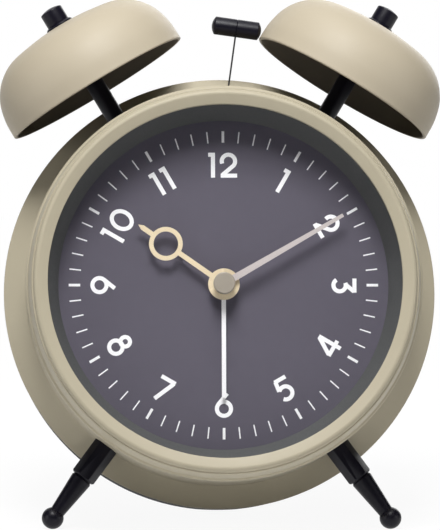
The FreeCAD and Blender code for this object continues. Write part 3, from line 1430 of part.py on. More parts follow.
def alarm_switch():
    """Slide button, shown at the left end of its travel, with a plate behind the floor that keeps it in."""
    stem_half = SWITCH_STEM / 2
    cap_low = POCKET_FLOOR + LOOSE_GAP
    cap = block(
        (-SWITCH_CAP_LENGTH / 2, cap_low, -SWITCH_CAP_WIDTH / 2),
        (SWITCH_CAP_LENGTH / 2, cap_low + SWITCH_CAP_THICK, SWITCH_CAP_WIDTH / 2),
    )
    groove_half = SWITCH_GROOVE / 2
    groove_bottom = cap_low + SWITCH_CAP_THICK - SWITCH_GROOVE
    grooves = []
    for number in range(SWITCH_GROOVES):
        x = (number - (SWITCH_GROOVES - 1) / 2) * SWITCH_GROOVE_STEP
        grooves.append(block((x - groove_half, groove_bottom, -THROUGH), (x + groove_half, THROUGH, THROUGH)))
    plate_back = POCKET_BACK - LOOSE_GAP
    stem = block((-stem_half, plate_back - OVERLAP, -stem_half), (stem_half, cap_low + OVERLAP, stem_half))
    plate = block(
        (-SWITCH_PLATE_LENGTH / 2, plate_back - SWITCH_PLATE_THICK, -SWITCH_CAP_WIDTH / 2),
        (SWITCH_PLATE_LENGTH / 2, plate_back, SWITCH_CAP_WIDTH / 2),
    )
    button = fused(cap, stem, plate).cut(Part.makeCompound(grooves))
    button.translate(FreeCAD.Vector(-SWITCH_TRAVEL / 2, 0, SWITCH_HEIGHT))
    return button


# Stance: the table touches both balls and the flat at the bottom of the cover

def ball_place():
    """Depth and height of a ball's centre."""
    return LEG_DEPTH, BALL_AT * math.cos(math.radians(LEG_ANGLE))


def rest_lean():
    ball_depth, ball_height = ball_place()
    corner_depth = COVER_BACK - COVER_CORNER
    corner_height = COVER_CORNER - COVER_RADIUS
    run = corner_depth - ball_depth
    rise = corner_height - ball_height
    return math.degrees(
        math.atan2(rise, run) - math.asin((COVER_CORNER - REST_FLAT - BALL_RADIUS) / math.hypot(run, rise))
    )


LEAN = rest_lean()


def table_level():
    """Distance of the table below the clock's axis, measured square to the table."""
    turn = math.radians(LEAN)
    depth, height = ball_place()
    return BALL_RADIUS + depth * math.sin(turn) - height * math.cos(turn)


def leaned(shape):
    """Lean a shape back about the X axis and lift it onto the table."""
    placed = shape.copy()
    placed.rotate(ORIGIN, X_AXIS, -LEAN)
    placed.translate(FreeCAD.Vector(0, 0, table_level()))
    return placed


def rest_cut():
    """Everything below the table, in the upright frame."""
    below = block((-THROUGH, -THROUGH, -THROUGH), (THROUGH, THROUGH, -table_level()))
    below.rotate(ORIGIN, X_AXIS, LEAN)
    return below


# Assembly

left_bell = at_angle(bell(), -BELL_ANGLE, BELL_DEPTH)
right_bell = at_angle(bell(), BELL_ANGLE, BELL_DEPTH)
HAMMER_SWING = swing_to_bell(hammer_head(), right_bell)

nodes["case_shell"] = case_shell()
nodes["bezel_ring"] = bezel_ring()
nodes["glass_lens"] = glass_lens()
nodes["dial_ring"] = dial_ring()
nodes["dial_plate"] = dial_plate()
nodes["hour_hand"] = hour_hand()
nodes["minute_hand"] = minute_hand()
nodes["alarm_hand"] = alarm_hand()
nodes["hand_cap"] = hand_cap()
nodes["bell_left"] = left_bell
nodes["bell_right"] = right_bell
for name, side in (("left", -1), ("right", 1)):
    nodes["bell_post_" + name] = at_angle(bell_post(), side * BELL_ANGLE, BELL_DEPTH)
    nodes["bell_nut_" + name] = at_angle(bell_nut(), side * BELL_ANGLE, BELL_DEPTH)
    nodes["leg_" + name] = at_angle(leg(), side * LEG_ANGLE, LEG_DEPTH)


def both_sides(shape, angle, depth):
    return Part.makeCompound([at_angle(shape, -angle, depth), at_angle(shape, angle, depth)])


nodes["bell_washers"] = both_sides(bell_washer(), BELL_ANGLE, BELL_DEPTH)
nodes["post_nuts"] = both_sides(post_nut(), BELL_ANGLE, BELL_DEPTH)
nodes["leg_screws"] = both_sides(leg_screw(), LEG_ANGLE, LEG_DEPTH)
nodes["hammer_head"] = swung(hammer_head(), HAMMER_SWING)
nodes["hammer_wire"] = swung(hammer_wire(), HAMMER_SWING)
nodes["hammer_lever"] = swung(hammer_lever(), HAMMER_SWING)
nodes["hammer_pivot_pin"] = hammer_pivot_pin()
nodes["striker_bracket"] = striker_bracket()
nodes["striker_core"] = striker_core()
nodes["striker_coil"] = striker_coil()
nodes["striker_screws"] = striker_screws()
nodes["movement_front_case"] = movement_front_case()
nodes["movement_mid_plate"] = movement_mid_plate()
nodes["movement_rear_case"] = movement_rear_case()
nodes["movement_screws"] = movement_screws()
nodes["minute_arbor"] = minute_arbor()
nodes["motion_wheel"] = motion_wheel()
nodes["hour_wheel"] = hour_wheel()
nodes["alarm_wheel"] = alarm_wheel()
nodes["alarm_arbor"] = alarm_arbor()
nodes["centre_wheel"] = centre_wheel()
nodes["third_wheel"] = train_arbor(THIRD_AT, 1, THIRD_TEETH, 0, THIRD_PINION_PHASE)
nodes["second_wheel"] = train_arbor(SECOND_AT, 2, SECOND_TEETH, 0, SECOND_PINION_PHASE)
nodes["fourth_wheel"] = train_arbor(FOURTH_AT, 3, FOURTH_TEETH, 0, FOURTH_PINION_PHASE)
nodes["rotor"] = rotor()
nodes["stator_plate"] = stator_plate()
nodes["motor_coil"] = motor_coil()
nodes["circuit_board"] = circuit_board()
nodes["quartz_crystal"] = quartz_crystal()
nodes["rear_cover"] = rear_cover()
nodes["cover_screws"] = cover_screws()
nodes["battery_cell"] = battery_cell()
nodes["battery_contact_positive"] = battery_contact(1)
nodes["battery_contact_negative"] = battery_contact(-1)
nodes["battery_door"] = battery_door()
nodes["time_knob"] = knob(MOTION_AT)
nodes["alarm_knob"] = knob(ALARM_AT)
nodes["alarm_switch"] = alarm_switch()

placed_nodes = {name: leaned(shape) for name, shape in nodes.items()}


def middle_depth(shapes):
    """Middle of the whole clock, front to back."""
    boxes = [shape.optimalBoundingBox(False) for shape in shapes]
    return (min(box.YMin for box in boxes) + max(box.YMax for box in boxes)) / 2


SHIFT = -middle_depth(placed_nodes.values())
for name, shape in placed_nodes.items():
    shape.translate(FreeCAD.Vector(0, SHIFT, 0))
    shape.exportStep("parts/" + name + ".step")

print("lean", round(LEAN, 3), "table below axis", round(table_level(), 3), "shift", round(SHIFT, 3))
print("hammer swing", round(HAMMER_SWING, 3), "nodes", len(nodes))
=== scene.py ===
import json
import math
import bpy
from mathutils import Matrix, Vector


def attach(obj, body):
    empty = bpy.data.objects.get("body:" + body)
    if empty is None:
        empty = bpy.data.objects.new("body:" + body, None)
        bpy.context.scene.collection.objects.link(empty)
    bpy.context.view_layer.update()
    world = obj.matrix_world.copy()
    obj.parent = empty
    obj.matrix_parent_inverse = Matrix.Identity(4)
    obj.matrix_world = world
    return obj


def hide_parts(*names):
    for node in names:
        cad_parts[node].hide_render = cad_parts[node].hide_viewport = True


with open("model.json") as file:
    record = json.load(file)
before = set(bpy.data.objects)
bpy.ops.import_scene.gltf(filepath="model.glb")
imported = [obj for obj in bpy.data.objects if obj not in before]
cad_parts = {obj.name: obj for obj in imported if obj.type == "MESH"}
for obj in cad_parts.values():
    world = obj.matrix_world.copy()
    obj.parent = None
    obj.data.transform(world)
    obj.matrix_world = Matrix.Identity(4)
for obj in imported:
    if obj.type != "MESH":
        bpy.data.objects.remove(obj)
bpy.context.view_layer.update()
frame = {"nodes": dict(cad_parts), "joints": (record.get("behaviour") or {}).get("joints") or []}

# Sizes of the clock in millimetres and degrees, from the CAD where it has them. Heights are counted
# from the clock's axis, or for the hammer and its wire from their pivot, and depths from the front
# of the lip
LIP_INNER = 40.95
LIP_CREST = 43.4
LIP_ROUND = 0.85
LIP_BACK = 1.9
POCKET_RADIUS = 43.5
POCKET_BACK = 3.95
SKIRT_INNER = 45.1
SKIRT_OUTER = 45.7
SKIRT_BACK = 7.6
HEM_ROUND = 0.55
DRUM_RADIUS = 45.05
DRUM_FRONT = 4.0
SHEET = 0.7
FLARE_START = 29.2
FLARE_BEND = 1.0
RIM_RADIUS = 50.23
RIM_DEPTH = 33.4
RIM_BEAD = 0.4
LUG_CIRCLE = 39.9
LUG_ANGLES = (60, 180, 300)
CONE_FRONT = 3.75
CONE_FLANGE = 43.45
FLANGE_BACK = 4.95
CONE_BACK = 10.4
CONE_FOOT = 44.3
DIAL_DEPTH = 11.6
PRINT_HEIGHT = 0.03
MARK_INNER = 33.14
MARK_OUTER = 35.81
MINUTE_MARK = 0.3
HOUR_MARK = 0.62
NUMERAL_CIRCLE = 27.9
NUMERAL_STROKE = 0.95
HAND_SHEET = 0.35
HOUR_HAND = {"depth": 9.35, "angle": 305}
MINUTE_HAND = {"depth": 8.25, "angle": 60}
ALARM_HAND = {"depth": 10.65, "angle": 180}
CAP_RADIUS = 2.5
CAP_FRONT = 5.85
CAP_BACK = 7.85
STALK_DEPTH = 25.7
BELL_TILT = 31.0
BELL_BORE = 1.55
BELL_RIM_AT = 55.25
BELL_WALL = 0.9
STUD_RADIUS = 1.5
STUD_FOOT = 41.2
STUD_TOP = 75.4
POST_RADIUS = 2.17
POST_FOOT = 44.3
POST_TOP = 71.25
WASHER_FOOT = 72.15
NUT_FOOT = 72.95
NUT_RADIUS = 2.7
NUT_TOP = 77.0
NUT_CROWN = 0.0823
LEG_TILT = 143.45
LEG_BORE = 1.5
LEG_HEXAGON = 5.2
HEXAGON_END = 54.2
BALL_AT = 65.85
BALL_RADIUS = 2.55
PIVOT_HEIGHT = 33.65
HAMMER_REACH = 28.1
HAMMER_SLOT = 0.9
WIRE_RADIUS = 0.2
WIRE_FOOT = 1.7
WIRE_TIP = 29.1
COVER_RADIUS = 48.93
COVER_FRONT = 33.85
COVER_INSIDE = 54.2
COVER_BACK = 56.0
WALLS_BACK = 54.7
SPIGOT_RADIUS = 44.05
SPIGOT_FRONT = 28.7
RECESS_FLOOR = 42.0
RECESS_RADIUS = 34.0
RECESS_BOTTOM = -7.0
RECESS_WALL = 1.8
DOOR_SEAT = 54.35
DOOR_FRONT = 54.4
HINGE_DEPTH = 55.2
HINGE_HEIGHT = -30.2
KNUCKLES_AT = (-17, 17)
KNOB_RADIUS = 7.0
KNOB_FRONT = 43.3
KNOB_BACK = 51.3
SWITCH_AT = (-1.5, 0, 25)
SCREW_SEAT = 30.32
SCREW_BACK = 32.1

# Tools that cut through to the back end here, well past the cover
BEYOND = 60

# Vertices that are nearer to each other than this are merged
WELD = 0.001

# Corners of the large rings, where a coarse circle would show
RING_SIDES = 240

# The clock leans back, so its pieces are made upright in millimetres and then placed by DRUM
hour_joint = next(joint for joint in frame["joints"] if joint["name"] == "hour_turn")
hammer_joint = next(joint for joint in frame["joints"] if joint["name"] == "hammer_swing")
hammer_lean = -hammer_joint["range_deg"][0] / 2
rightward = Vector((1, 0, 0))
backward = Vector(hour_joint["axis"]).normalized()
upward = rightward.cross(backward)
axis_point = Vector(hour_joint["pos_m"])
lip_points = frame["nodes"]["bezel_ring"].data.vertices
front_face = min(vertex.co.dot(backward) for vertex in lip_points)
front_centre = axis_point + backward * (front_face - axis_point.dot(backward))
MILLIMETRES = Matrix.Scale(0.001, 4)
own_axes = Matrix((rightward, backward, upward)).transposed().to_4x4()
DRUM = Matrix.Translation(front_centre) @ own_axes @ MILLIMETRES
UNPLACED = Matrix.Identity(4)
LATHE_TO_DEPTH = Matrix.Rotation(math.radians(-90), 4, "X")
FLAT_TO_DIAL = Matrix.Rotation(math.radians(90), 4, "X")


def stalk(tilt, clock=DRUM):
    """Place of a piece that was made standing on the clock's axis and leans to a clock angle."""
    lean = Matrix.Rotation(math.radians(tilt), 4, "Y")
    return clock @ Matrix.Translation((0, STALK_DEPTH, 0)) @ lean


def on_dial(depth, angle=0):
    """Place of a flat piece that was made lying on its back and points to a clock angle."""
    spin = Matrix.Rotation(math.radians(-angle), 4, "Z")
    return DRUM @ Matrix.Translation((0, depth, 0)) @ FLAT_TO_DIAL @ spin


# Modelling

def clear():
    if bpy.context.object and bpy.context.object.mode != "OBJECT":
        bpy.ops.object.mode_set(mode="OBJECT")
    bpy.ops.object.select_all(action="DESELECT")


def pick(piece):
    clear()
    piece.select_set(True)
    bpy.context.view_layer.objects.active = piece


def arc(centre, radius, start, end, steps=16, squeeze=1.0):
    """Points of an arc, by angles counted from the first axis towards the second."""
    points = []
    for step in range(steps + 1):
        angle = math.radians(start + (end - start) * step / steps)
        across = radius * squeeze * math.cos(angle)
        points.append((centre[0] + across, centre[1] + radius * math.sin(angle)))
    return points


def ring(centre, radius, steps, squeeze=1.0):
    """Points of a full turn, with no point twice."""
    return arc(centre, radius, 0, 360, steps, squeeze)[:-1]


def rounded(corners, degrees_per_step=9):
    """Outline whose corners are (radius, height), or (radius, height, round) for a rounded one."""
    points = []
    for number, corner in enumerate(corners):
        here = Vector(corner[:2])
        if len(corner) < 3:
            points.append(here)
            continue
        before = (Vector(corners[number - 1][:2]) - here).normalized()
        after = (Vector(corners[(number + 1) % len(corners)][:2]) - here).normalized()
        half = before.angle(after) / 2
        middle = here + (before + after).normalized() * corner[2] / math.sin(half)
        start = here + before * corner[2] / math.tan(half) - middle
        end = here + after * corner[2] / math.tan(half) - middle
        sweep = math.pi - 2 * half
        steps = max(2, round(math.degrees(sweep) / degrees_per_step))
        for step in range(steps + 1):
            share = step / steps
            mixed = start * math.sin((1 - share) * sweep) + end * math.sin(share * sweep)
            points.append(middle + mixed / math.sin(sweep))
    return points


def smooth_line(knots, steps=8):
    """Even curve through the knots, with the direction of travel at each point."""
    knots = [Vector(knot) for knot in knots]
    gaps = [(b - a).length for a, b in zip(knots, knots[1:])]
    slopes = [(b - a) / gap for a, b, gap in zip(knots, knots[1:], gaps)]
    leads = [slopes[0]]
    for number in range(1, len(knots) - 1):
        before, after = gaps[number - 1], gaps[number]
        leads.append((slopes[number - 1] * after + slopes[number] * before) / (before + after))
    leads.append(slopes[-1])
    line = []
    for number, gap in enumerate(gaps):
        for step in range(steps + (number == len(gaps) - 1)):
            t = step / steps
            a, b = knots[number], knots[number + 1]
            u, v = leads[number] * gap, leads[number + 1] * gap
            place = a * (2 * t**3 - 3 * t**2 + 1) + u * (t**3 - 2 * t**2 + t)
            place += b * (3 * t**2 - 2 * t**3) + v * (t**3 - t**2)
            lead = a * (6 * t**2 - 6 * t) + u * (3 * t**2 - 4 * t + 1)
            lead += b * (6 * t - 6 * t**2) + v * (3 * t**2 - 2 * t)
            line.append((place, lead.normalized()))
    return line


def trace(points, closed):
    """Line of vertices, made by extruding one vertex from place to place, left in edit mode."""
    clear()
    bpy.ops.mesh.primitive_plane_add(size=1)
    piece = bpy.context.object
    bpy.ops.object.mode_set(mode="EDIT")
    bpy.ops.mesh.merge(type="CENTER")
    bpy.ops.transform.translate(value=points[0])
    for here, there in zip(points, points[1:] + points[:1] * closed):
        bpy.ops.mesh.extrude_vertices_move(TRANSFORM_OT_translate={"value": there - here})
    bpy.ops.mesh.select_all(action="SELECT")
    bpy.ops.mesh.remove_doubles(threshold=WELD)
    return piece


def close_up():
    """Merges what meets, turns the faces outwards and leaves edit mode."""
    bpy.ops.mesh.select_all(action="SELECT")
    bpy.ops.mesh.remove_doubles(threshold=WELD)
    bpy.ops.mesh.normals_make_consistent(inside=False)
    bpy.ops.object.mode_set(mode="OBJECT")


def lathe(outline, sides=96, closed=True):
    """Turned piece about the upright axis. An open outline starts and ends on that axis."""
    piece = trace([Vector((point[0], 0, point[1])) for point in outline], closed)
    bpy.ops.mesh.spin(steps=sides, angle=math.tau, center=(0, 0, 0), axis=(0, 0, 1))
    close_up()
    return piece


def turned(outline, sides=RING_SIDES, closed=True):
    """Turned piece about the clock's axis, from an outline of (radius, depth)."""
    return moved(lathe(outline, sides, closed), LATHE_TO_DEPTH)


def pin(radius, low, high, sides=32):
    """Round bar on the upright axis."""
    return lathe([(0, low), (radius, low), (radius, high), (0, high)], sides, False)


def plate(outline, thick):
    """Flat piece that lies on the ground plane and rises by its thickness."""
    piece = trace([Vector((x, y, 0)) for x, y in outline], True)
    bpy.ops.mesh.edge_face_add()
    bpy.ops.mesh.extrude_region_move(TRANSFORM_OT_translate={"value": (0, 0, thick)})
    close_up()
    return piece


def loft(loops):
    """Solid through flat outlines at rising depths. Each is (depth, points), and the points are
    (x, z), as many in each."""
    rings = [trace([Vector((x, depth, z)) for x, z in points], True) for depth, points in loops]
    piece = gather(rings)
    bpy.ops.object.mode_set(mode="EDIT")
    bpy.ops.mesh.select_all(action="SELECT")
    bpy.ops.mesh.bridge_edge_loops()
    bpy.ops.mesh.select_all(action="SELECT")
    bpy.ops.mesh.fill_holes(sides=0)
    close_up()
    return piece


def stroke(line, width, thick, closed=False):
    """Band of even width along a line on the ground plane."""
    piece = trace([Vector((x, y, 0)) for x, y in line], closed)
    bpy.ops.mesh.extrude_region_move(TRANSFORM_OT_translate={"value": (0, 0, thick)})
    bpy.ops.object.mode_set(mode="OBJECT")
    wall = piece.modifiers.new("wall", "SOLIDIFY")
    wall.thickness = width
    wall.offset = 0
    wall.use_even_offset = True
    bpy.ops.object.modifier_apply(modifier=wall.name)
    bpy.ops.object.mode_set(mode="EDIT")
    close_up()
    return piece


def block(low, high):
    clear()
    low, high = Vector(low), Vector(high)
    bpy.ops.mesh.primitive_cube_add(size=1, location=(low + high) / 2, scale=high - low)
    bpy.ops.object.transform_apply(location=True, rotation=True, scale=True)
    return bpy.context.object


def rod(radius, front, back, at=(0, 0), sides=48):
    """Round bar along the depth, at an (x, z) place."""
    clear()
    bpy.ops.mesh.primitive_cylinder_add(
        vertices=sides, radius=radius, depth=back - front,
        location=(at[0], (front + back) / 2, at[1]), rotation=(math.radians(90), 0, 0),
    )
    bpy.ops.object.transform_apply(location=True, rotation=True, scale=True)
    return bpy.context.object


def combine(piece, tool, operation):
    """Joins two solids, cuts the second from the first or keeps what both fill. It uses up the
    second."""
    pick(piece)
    change = piece.modifiers.new("combine", "BOOLEAN")
    change.operation = operation
    change.object = tool
    change.solver = "EXACT"
    bpy.ops.object.modifier_apply(modifier=change.name)
    bpy.data.objects.remove(tool)


def joined(piece, *others):
    for other in others:
        combine(piece, other, "UNION")
    return piece


def cut(piece, *tools):
    for tool in tools:
        combine(piece, tool, "DIFFERENCE")
    return piece


def gather(pieces):
    """One object out of several, with no change to their faces."""
    pick(pieces[0])
    for piece in pieces:
        piece.select_set(True)
    bpy.ops.object.join()
    return bpy.context.object


def soften(piece, width, steps=2, angle=35):
    """Rounds the edges that are sharper than an angle."""
    pick(piece)
    edge = piece.modifiers.new("edge", "BEVEL")
    edge.width = width
    edge.segments = steps
    edge.limit_method = "ANGLE"
    edge.angle_limit = math.radians(angle)
    bpy.ops.object.modifier_apply(modifier=edge.name)
    return piece


def copy_of(piece):
    twin = piece.copy()
    twin.data = piece.data.copy()
    bpy.context.scene.collection.objects.link(twin)
    return twin


def moved(piece, matrix):
    piece.data.transform(matrix)
    return piece


def settle(piece, name, place, finish, body, slot, *nodes):
    """Puts a finished piece in its place in the clock and gives it its finish, its body and its
    part."""
    piece.data.transform(place)
    piece.name = name
    piece.data.name = name
    pick(piece)
    bpy.ops.object.shade_smooth_by_angle(angle=math.radians(32))
    piece.data.materials.clear()
    piece.data.materials.append(finish)
    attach(piece, body)
    if nodes:
        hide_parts(*nodes)
    return piece


# Finishes

def colour(code):
    """Linear colour from an sRGB hex value."""
    parts = [int(code[at:at + 2], 16) / 255 for at in (1, 3, 5)]
    linear = [part / 12.92 if part <= 0.04045 else ((part + 0.055) / 1.055) ** 2.4
              for part in parts]
    return linear + [1.0]


def add(tree, kind, inputs=(), **settings):
    """Adds a node with its settings, and sets its inputs, by name or number, or links them to
    other nodes' outputs."""
    made = tree.nodes.new("ShaderNode" + kind)
    for name, value in settings.items():
        setattr(made, name, value)
    for name, value in dict(inputs).items():
        if isinstance(value, bpy.types.NodeSocket):
            tree.links.new(value, made.inputs[name])
        else:
            made.inputs[name].default_value = value
    return made


def per_metre(size):
    """Pattern scale for a feature of that many millimetres."""
    return 1000 / size


def new_material(name):
    material = bpy.data.materials.new(name)
    material.use_nodes = True
    material.node_tree.nodes.clear()
    return material, material.node_tree


def surfaced(name, light, dark, rough, grain, height, patch=14.0, **sockets):
    """Solid finish: two close colours in soft patches, a fine grain in the bump and an uneven
    gloss. Grain, height and patch are sizes in millimetres."""
    material, tree = new_material(name)
    place = add(tree, "TexCoord").outputs["Object"]
    clouds = add(tree, "TexNoise", {"Vector": place, "Scale": per_metre(patch), "Detail": 2.0})
    specks = add(tree, "TexNoise", {"Vector": place, "Scale": per_metre(grain), "Detail": 3.0})
    tint = add(tree, "MixRGB", {
        "Fac": clouds.outputs["Fac"], "Color1": colour(dark), "Color2": colour(light),
    })
    gloss = add(tree, "MapRange", {
        "Value": specks.outputs["Fac"], "From Min": 0.3, "From Max": 0.7,
        "To Min": rough * 0.9, "To Max": rough * 1.1,
    })
    bump = add(tree, "Bump", {
        "Height": specks.outputs["Fac"], "Distance": height / 1000, "Strength": 1.0,
    })
    surface = add(tree, "BsdfPrincipled", {
        "Base Color": tint.outputs["Color"], "Roughness": gloss.outputs["Result"],
        "Normal": bump.outputs["Normal"],
    })
    for socket, value in sockets.items():
        surface.inputs[socket.replace("_", " ")].default_value = value
    add(tree, "OutputMaterial", {"Surface": surface.outputs["BSDF"]})
    return material


# Greige satin enamel, sprayed on steel and baked: an even colour with a soft sheen and the faint
# orange-peel of sprayed paint, waves about a millimetre apart
case_enamel = surfaced("satin_enamel_case", "#A59D89", "#A19985",
                       rough=0.5, grain=1.1, height=0.004, Specular_IOR_Level=0.25)
bell_enamel = surfaced("satin_enamel_bell", "#A99F8C", "#A59B88",
                       rough=0.5, grain=1.1, height=0.004, Specular_IOR_Level=0.25)
# Inside of the bells: the same enamel made darker and duller, as painted shade in their hollow
bell_hollow_painted_shade = surfaced("enamel_overspray", "#7C7468", "#756E62",
                          rough=0.7, grain=0.9, height=0.006, Specular_IOR_Level=0.1)
# Black satin enamel on turned steel: near black, with a soft broad highlight
black_enamel = surfaced("satin_black_enamel", "#0C0A17", "#0A0814",
                        rough=0.4, grain=0.9, height=0.004, Specular_IOR_Level=0.25)
# Blackened spring wire: dark, with a dull sheen
black_wire = surfaced("blackened_spring_wire", "#2A2A2C", "#222224",
                      rough=0.42, grain=0.5, height=0.002)
# Charcoal ABS, moulded matte: dark, with little gloss
charcoal_abs = surfaced("moulded_charcoal_abs", "#575858", "#535454",
                        rough=0.6, grain=0.6, height=0.005, Specular_IOR_Level=0.2)
# Slate enamel on brass sheet: matte, with a very faint mottle
slate_enamel = surfaced("slate_dial_enamel", "#5D5965", "#5A5662",
                        rough=0.6, grain=1.6, height=0.001, patch=2.6, Specular_IOR_Level=0.3)
# White screen ink: opaque and matte, slightly raised
white_ink = surfaced("white_screen_ink", "#FFFFFF", "#FBFBFF",
                     rough=0.55, grain=0.4, height=0.002)
# Cream, taupe and white enamel on the stamped hands and greige on the turned cap: thin flat
# paint with a low sheen
cream_enamel = surfaced("cream_hand_enamel", "#E9D8B7", "#E4D3B2",
                        rough=0.42, grain=0.8, height=0.002)
taupe_enamel = surfaced("taupe_hand_enamel", "#C9C0BE", "#C4BBB9",
                        rough=0.42, grain=0.8, height=0.002)
white_enamel = surfaced("white_hand_enamel", "#FBFAFD", "#F6F5F8",
                        rough=0.42, grain=0.8, height=0.002)
cap_enamel = surfaced("greige_cap_enamel", "#9F978B", "#999185",
                      rough=0.38, grain=0.8, height=0.002)
# Black ABS moulded with a fine spark grain: matte black that breaks up highlights
grained_abs = surfaced("grained_black_abs", "#1C1C1E", "#18181A",
                       rough=0.7, grain=0.7, height=0.02, Specular_IOR_Level=0.1)
# Black ABS moulded in a polished tool: satin
satin_abs = surfaced("satin_black_abs", "#1B1B1E", "#17171A",
                     rough=0.42, grain=0.8, height=0.006, Specular_IOR_Level=0.25)
# Light grey ABS: pale and satin
grey_abs = surfaced("light_grey_abs", "#C2C0B8", "#BCBAB2",
                    rough=0.42, grain=0.8, height=0.006)
# Zinc-plated steel: bright, slightly uneven metal
zinc_steel = surfaced("zinc_plated_steel", "#C6C8CA", "#B9BBBD",
                      rough=0.32, grain=0.7, height=0.004, patch=3.0, Metallic=1.0)
# Black polystyrene of the movement's plates: plain moulded
movement_plastic = surfaced("moulded_movement_plastic", "#232427", "#1F2023",
                            rough=0.45, grain=1.0, height=0.006)
# Natural acetal of the wheels: milky white, waxy sheen
acetal = surfaced("natural_acetal", "#EFECE2", "#E8E5DB",
                  rough=0.38, grain=1.2, height=0.003)
# Turned brass: warm yellow metal with a finely uneven gloss
turned_brass = surfaced("turned_brass", "#D9B460", "#CFA954",
                        rough=0.28, grain=0.35, height=0.004, patch=5.0, Metallic=1.0)
# Rolled electrical steel: grey, dull metal
electrical_steel = surfaced("rolled_electrical_steel", "#8E9092", "#838587",
                            rough=0.4, grain=0.6, height=0.004, patch=4.0, Metallic=1.0)
# Sintered ferrite magnet: dark grey, fine pores
ferrite = surfaced("sintered_ferrite", "#323235", "#2A2A2D",
                   rough=0.55, grain=0.4, height=0.01)
# Brown paper laminate of the circuit board: satin, with a faint cloudy grain
laminate = surfaced("brown_paper_laminate", "#7A5528", "#6B4A22",
                    rough=0.4, grain=0.9, height=0.004, patch=3.0)
# Drawn nickel can and nickel-plated spring leaf: bright and clean
nickel = surfaced("nickel_plate", "#CFCDC6", "#C5C3BC",
                  rough=0.24, grain=0.8, height=0.002, patch=4.0, Metallic=1.0)
# Shrunk plastic sleeve of the cell: plain grey, glossy
cell_sleeve = surfaced("shrink_sleeve", "#5B5E63", "#56595E",
                       rough=0.3, grain=2.0, height=0.006)


def enamelled_copper(name, direction):
    """Lacquered copper wire, wound in even turns. The turns are drawn about 1.9 mm apart, far
    coarser than the real ones, so that they show. A wave of scale 1 repeats every tau / 20."""
    material, tree = new_material(name)
    place = add(tree, "TexCoord").outputs["Object"]
    apart = 0.3 * math.tau
    turns = add(tree, "TexWave", {
        "Vector": place, "Scale": per_metre(apart) * math.tau / 20, "Distortion": 0.0,
    }, bands_direction=direction)
    # Each turn runs from dark copper at its gap to bright copper at its crown: painted shade
    # between the turns and a painted highlight on them, beside the bump that gives their relief
    tint = add(tree, "MixRGB", {
        "Fac": turns.outputs["Fac"], "Color1": colour("#7E3C18"), "Color2": colour("#C46B35"),
    })
    bump = add(tree, "Bump", {
        "Height": turns.outputs["Fac"], "Distance": 0.00008, "Strength": 1.0,
    })
    surface = add(tree, "BsdfPrincipled", {
        "Base Color": tint.outputs["Color"], "Metallic": 1.0, "Roughness": 0.3,
        "Normal": bump.outputs["Normal"],
    })
    add(tree, "OutputMaterial", {"Surface": surface.outputs["BSDF"]})
    return material


def clear_float_glass(name):
    """Flat float glass: clear, with a plain reflection that grows at low angles. Rays aren't bent
    in it, so its back faces have the index of air, which keeps them from being mirrored inside."""
    material, tree = new_material(name)
    place = add(tree, "TexCoord").outputs["Object"]
    smear = add(tree, "TexNoise", {"Vector": place, "Scale": per_metre(30.0), "Detail": 2.0})
    polish = add(tree, "MapRange", {"Value": smear.outputs["Fac"], "To Min": 0.0, "To Max": 0.03})
    side = add(tree, "NewGeometry").outputs["Backfacing"]
    index = add(tree, "MapRange", {"Value": side, "To Min": 1.5, "To Max": 1.0})
    edge = add(tree, "Fresnel", {"IOR": index.outputs["Result"]})
    through = add(tree, "BsdfTransparent", {"Color": colour("#FDFDFD")})
    mirror = add(tree, "BsdfAnisotropic", {
        "Color": colour("#FFFFFF"), "Roughness": polish.outputs["Result"],
    })
    both = add(tree, "MixShader", {
        0: edge.outputs["Fac"], 1: through.outputs["BSDF"], 2: mirror.outputs["BSDF"],
    })
    add(tree, "OutputMaterial", {"Surface": both.outputs["Shader"]})
    return material


float_glass = clear_float_glass("clear_float_glass")
copper_along = enamelled_copper("enamelled_copper_motor_coil", "X")
copper_up = enamelled_copper("enamelled_copper_striker_coil", "Z")

# The CAD nodes that stay get the finish of their slot
slot_finishes = {
    "case_paint": case_enamel, "bell_paint": bell_enamel, "black_metal": black_enamel,
    "lens_glass": float_glass, "ring_plastic": charcoal_abs, "dial_paint": slate_enamel,
    "hour_hand_paint": cream_enamel, "minute_hand_paint": taupe_enamel,
    "alarm_hand_paint": white_enamel, "cap_metal": cap_enamel, "cover_plastic": grained_abs,
    "knob_plastic": satin_abs, "switch_plastic": grey_abs, "screw_steel": zinc_steel,
    "movement_plastic": movement_plastic, "wheel_plastic": acetal, "arbor_brass": turned_brass,
    "iron": electrical_steel, "magnet": ferrite, "winding": copper_along, "board": laminate,
    "crystal_can": nickel, "cell_jacket": cell_sleeve, "contact_metal": nickel,
}
for node in frame["nodes"].values():
    for place in node.material_slots:
        slot_name = place.material.name.split(".")[0]
        place.material = slot_finishes.get(slot_name, movement_plastic)
frame["nodes"]["striker_coil"].material_slots[0].material = copper_up

# Front ring: a rounded lip whose face falls inwards, a shallow groove, a skirt that slips over the
# drum, and a hem at its end
lip = [(LIP_INNER, LIP_BACK), (LIP_INNER, 0.83, 0.25)]
lip += arc((LIP_CREST, LIP_ROUND), LIP_ROUND, -110, -5, 12)
groove = [(44.42, 1.15, 0.12), (44.62, 1.08, 0.12), (44.85, 1.6, 0.2)]
hem = [(45.36, 6.35, 0.3)] + arc((45.35, 7.0), HEM_ROUND, -50, 50, 8) + [(SKIRT_OUTER, SKIRT_BACK)]
inner_side = [
    (SKIRT_INNER, SKIRT_BACK), (SKIRT_INNER, POCKET_BACK), (POCKET_RADIUS, POCKET_BACK),
    (POCKET_RADIUS, LIP_BACK),
]
bezel = turned(rounded(lip + groove + hem + inner_side))
settle(bezel, "front_ring", DRUM, case_enamel, "clock_body", "case_paint", "bezel_ring")

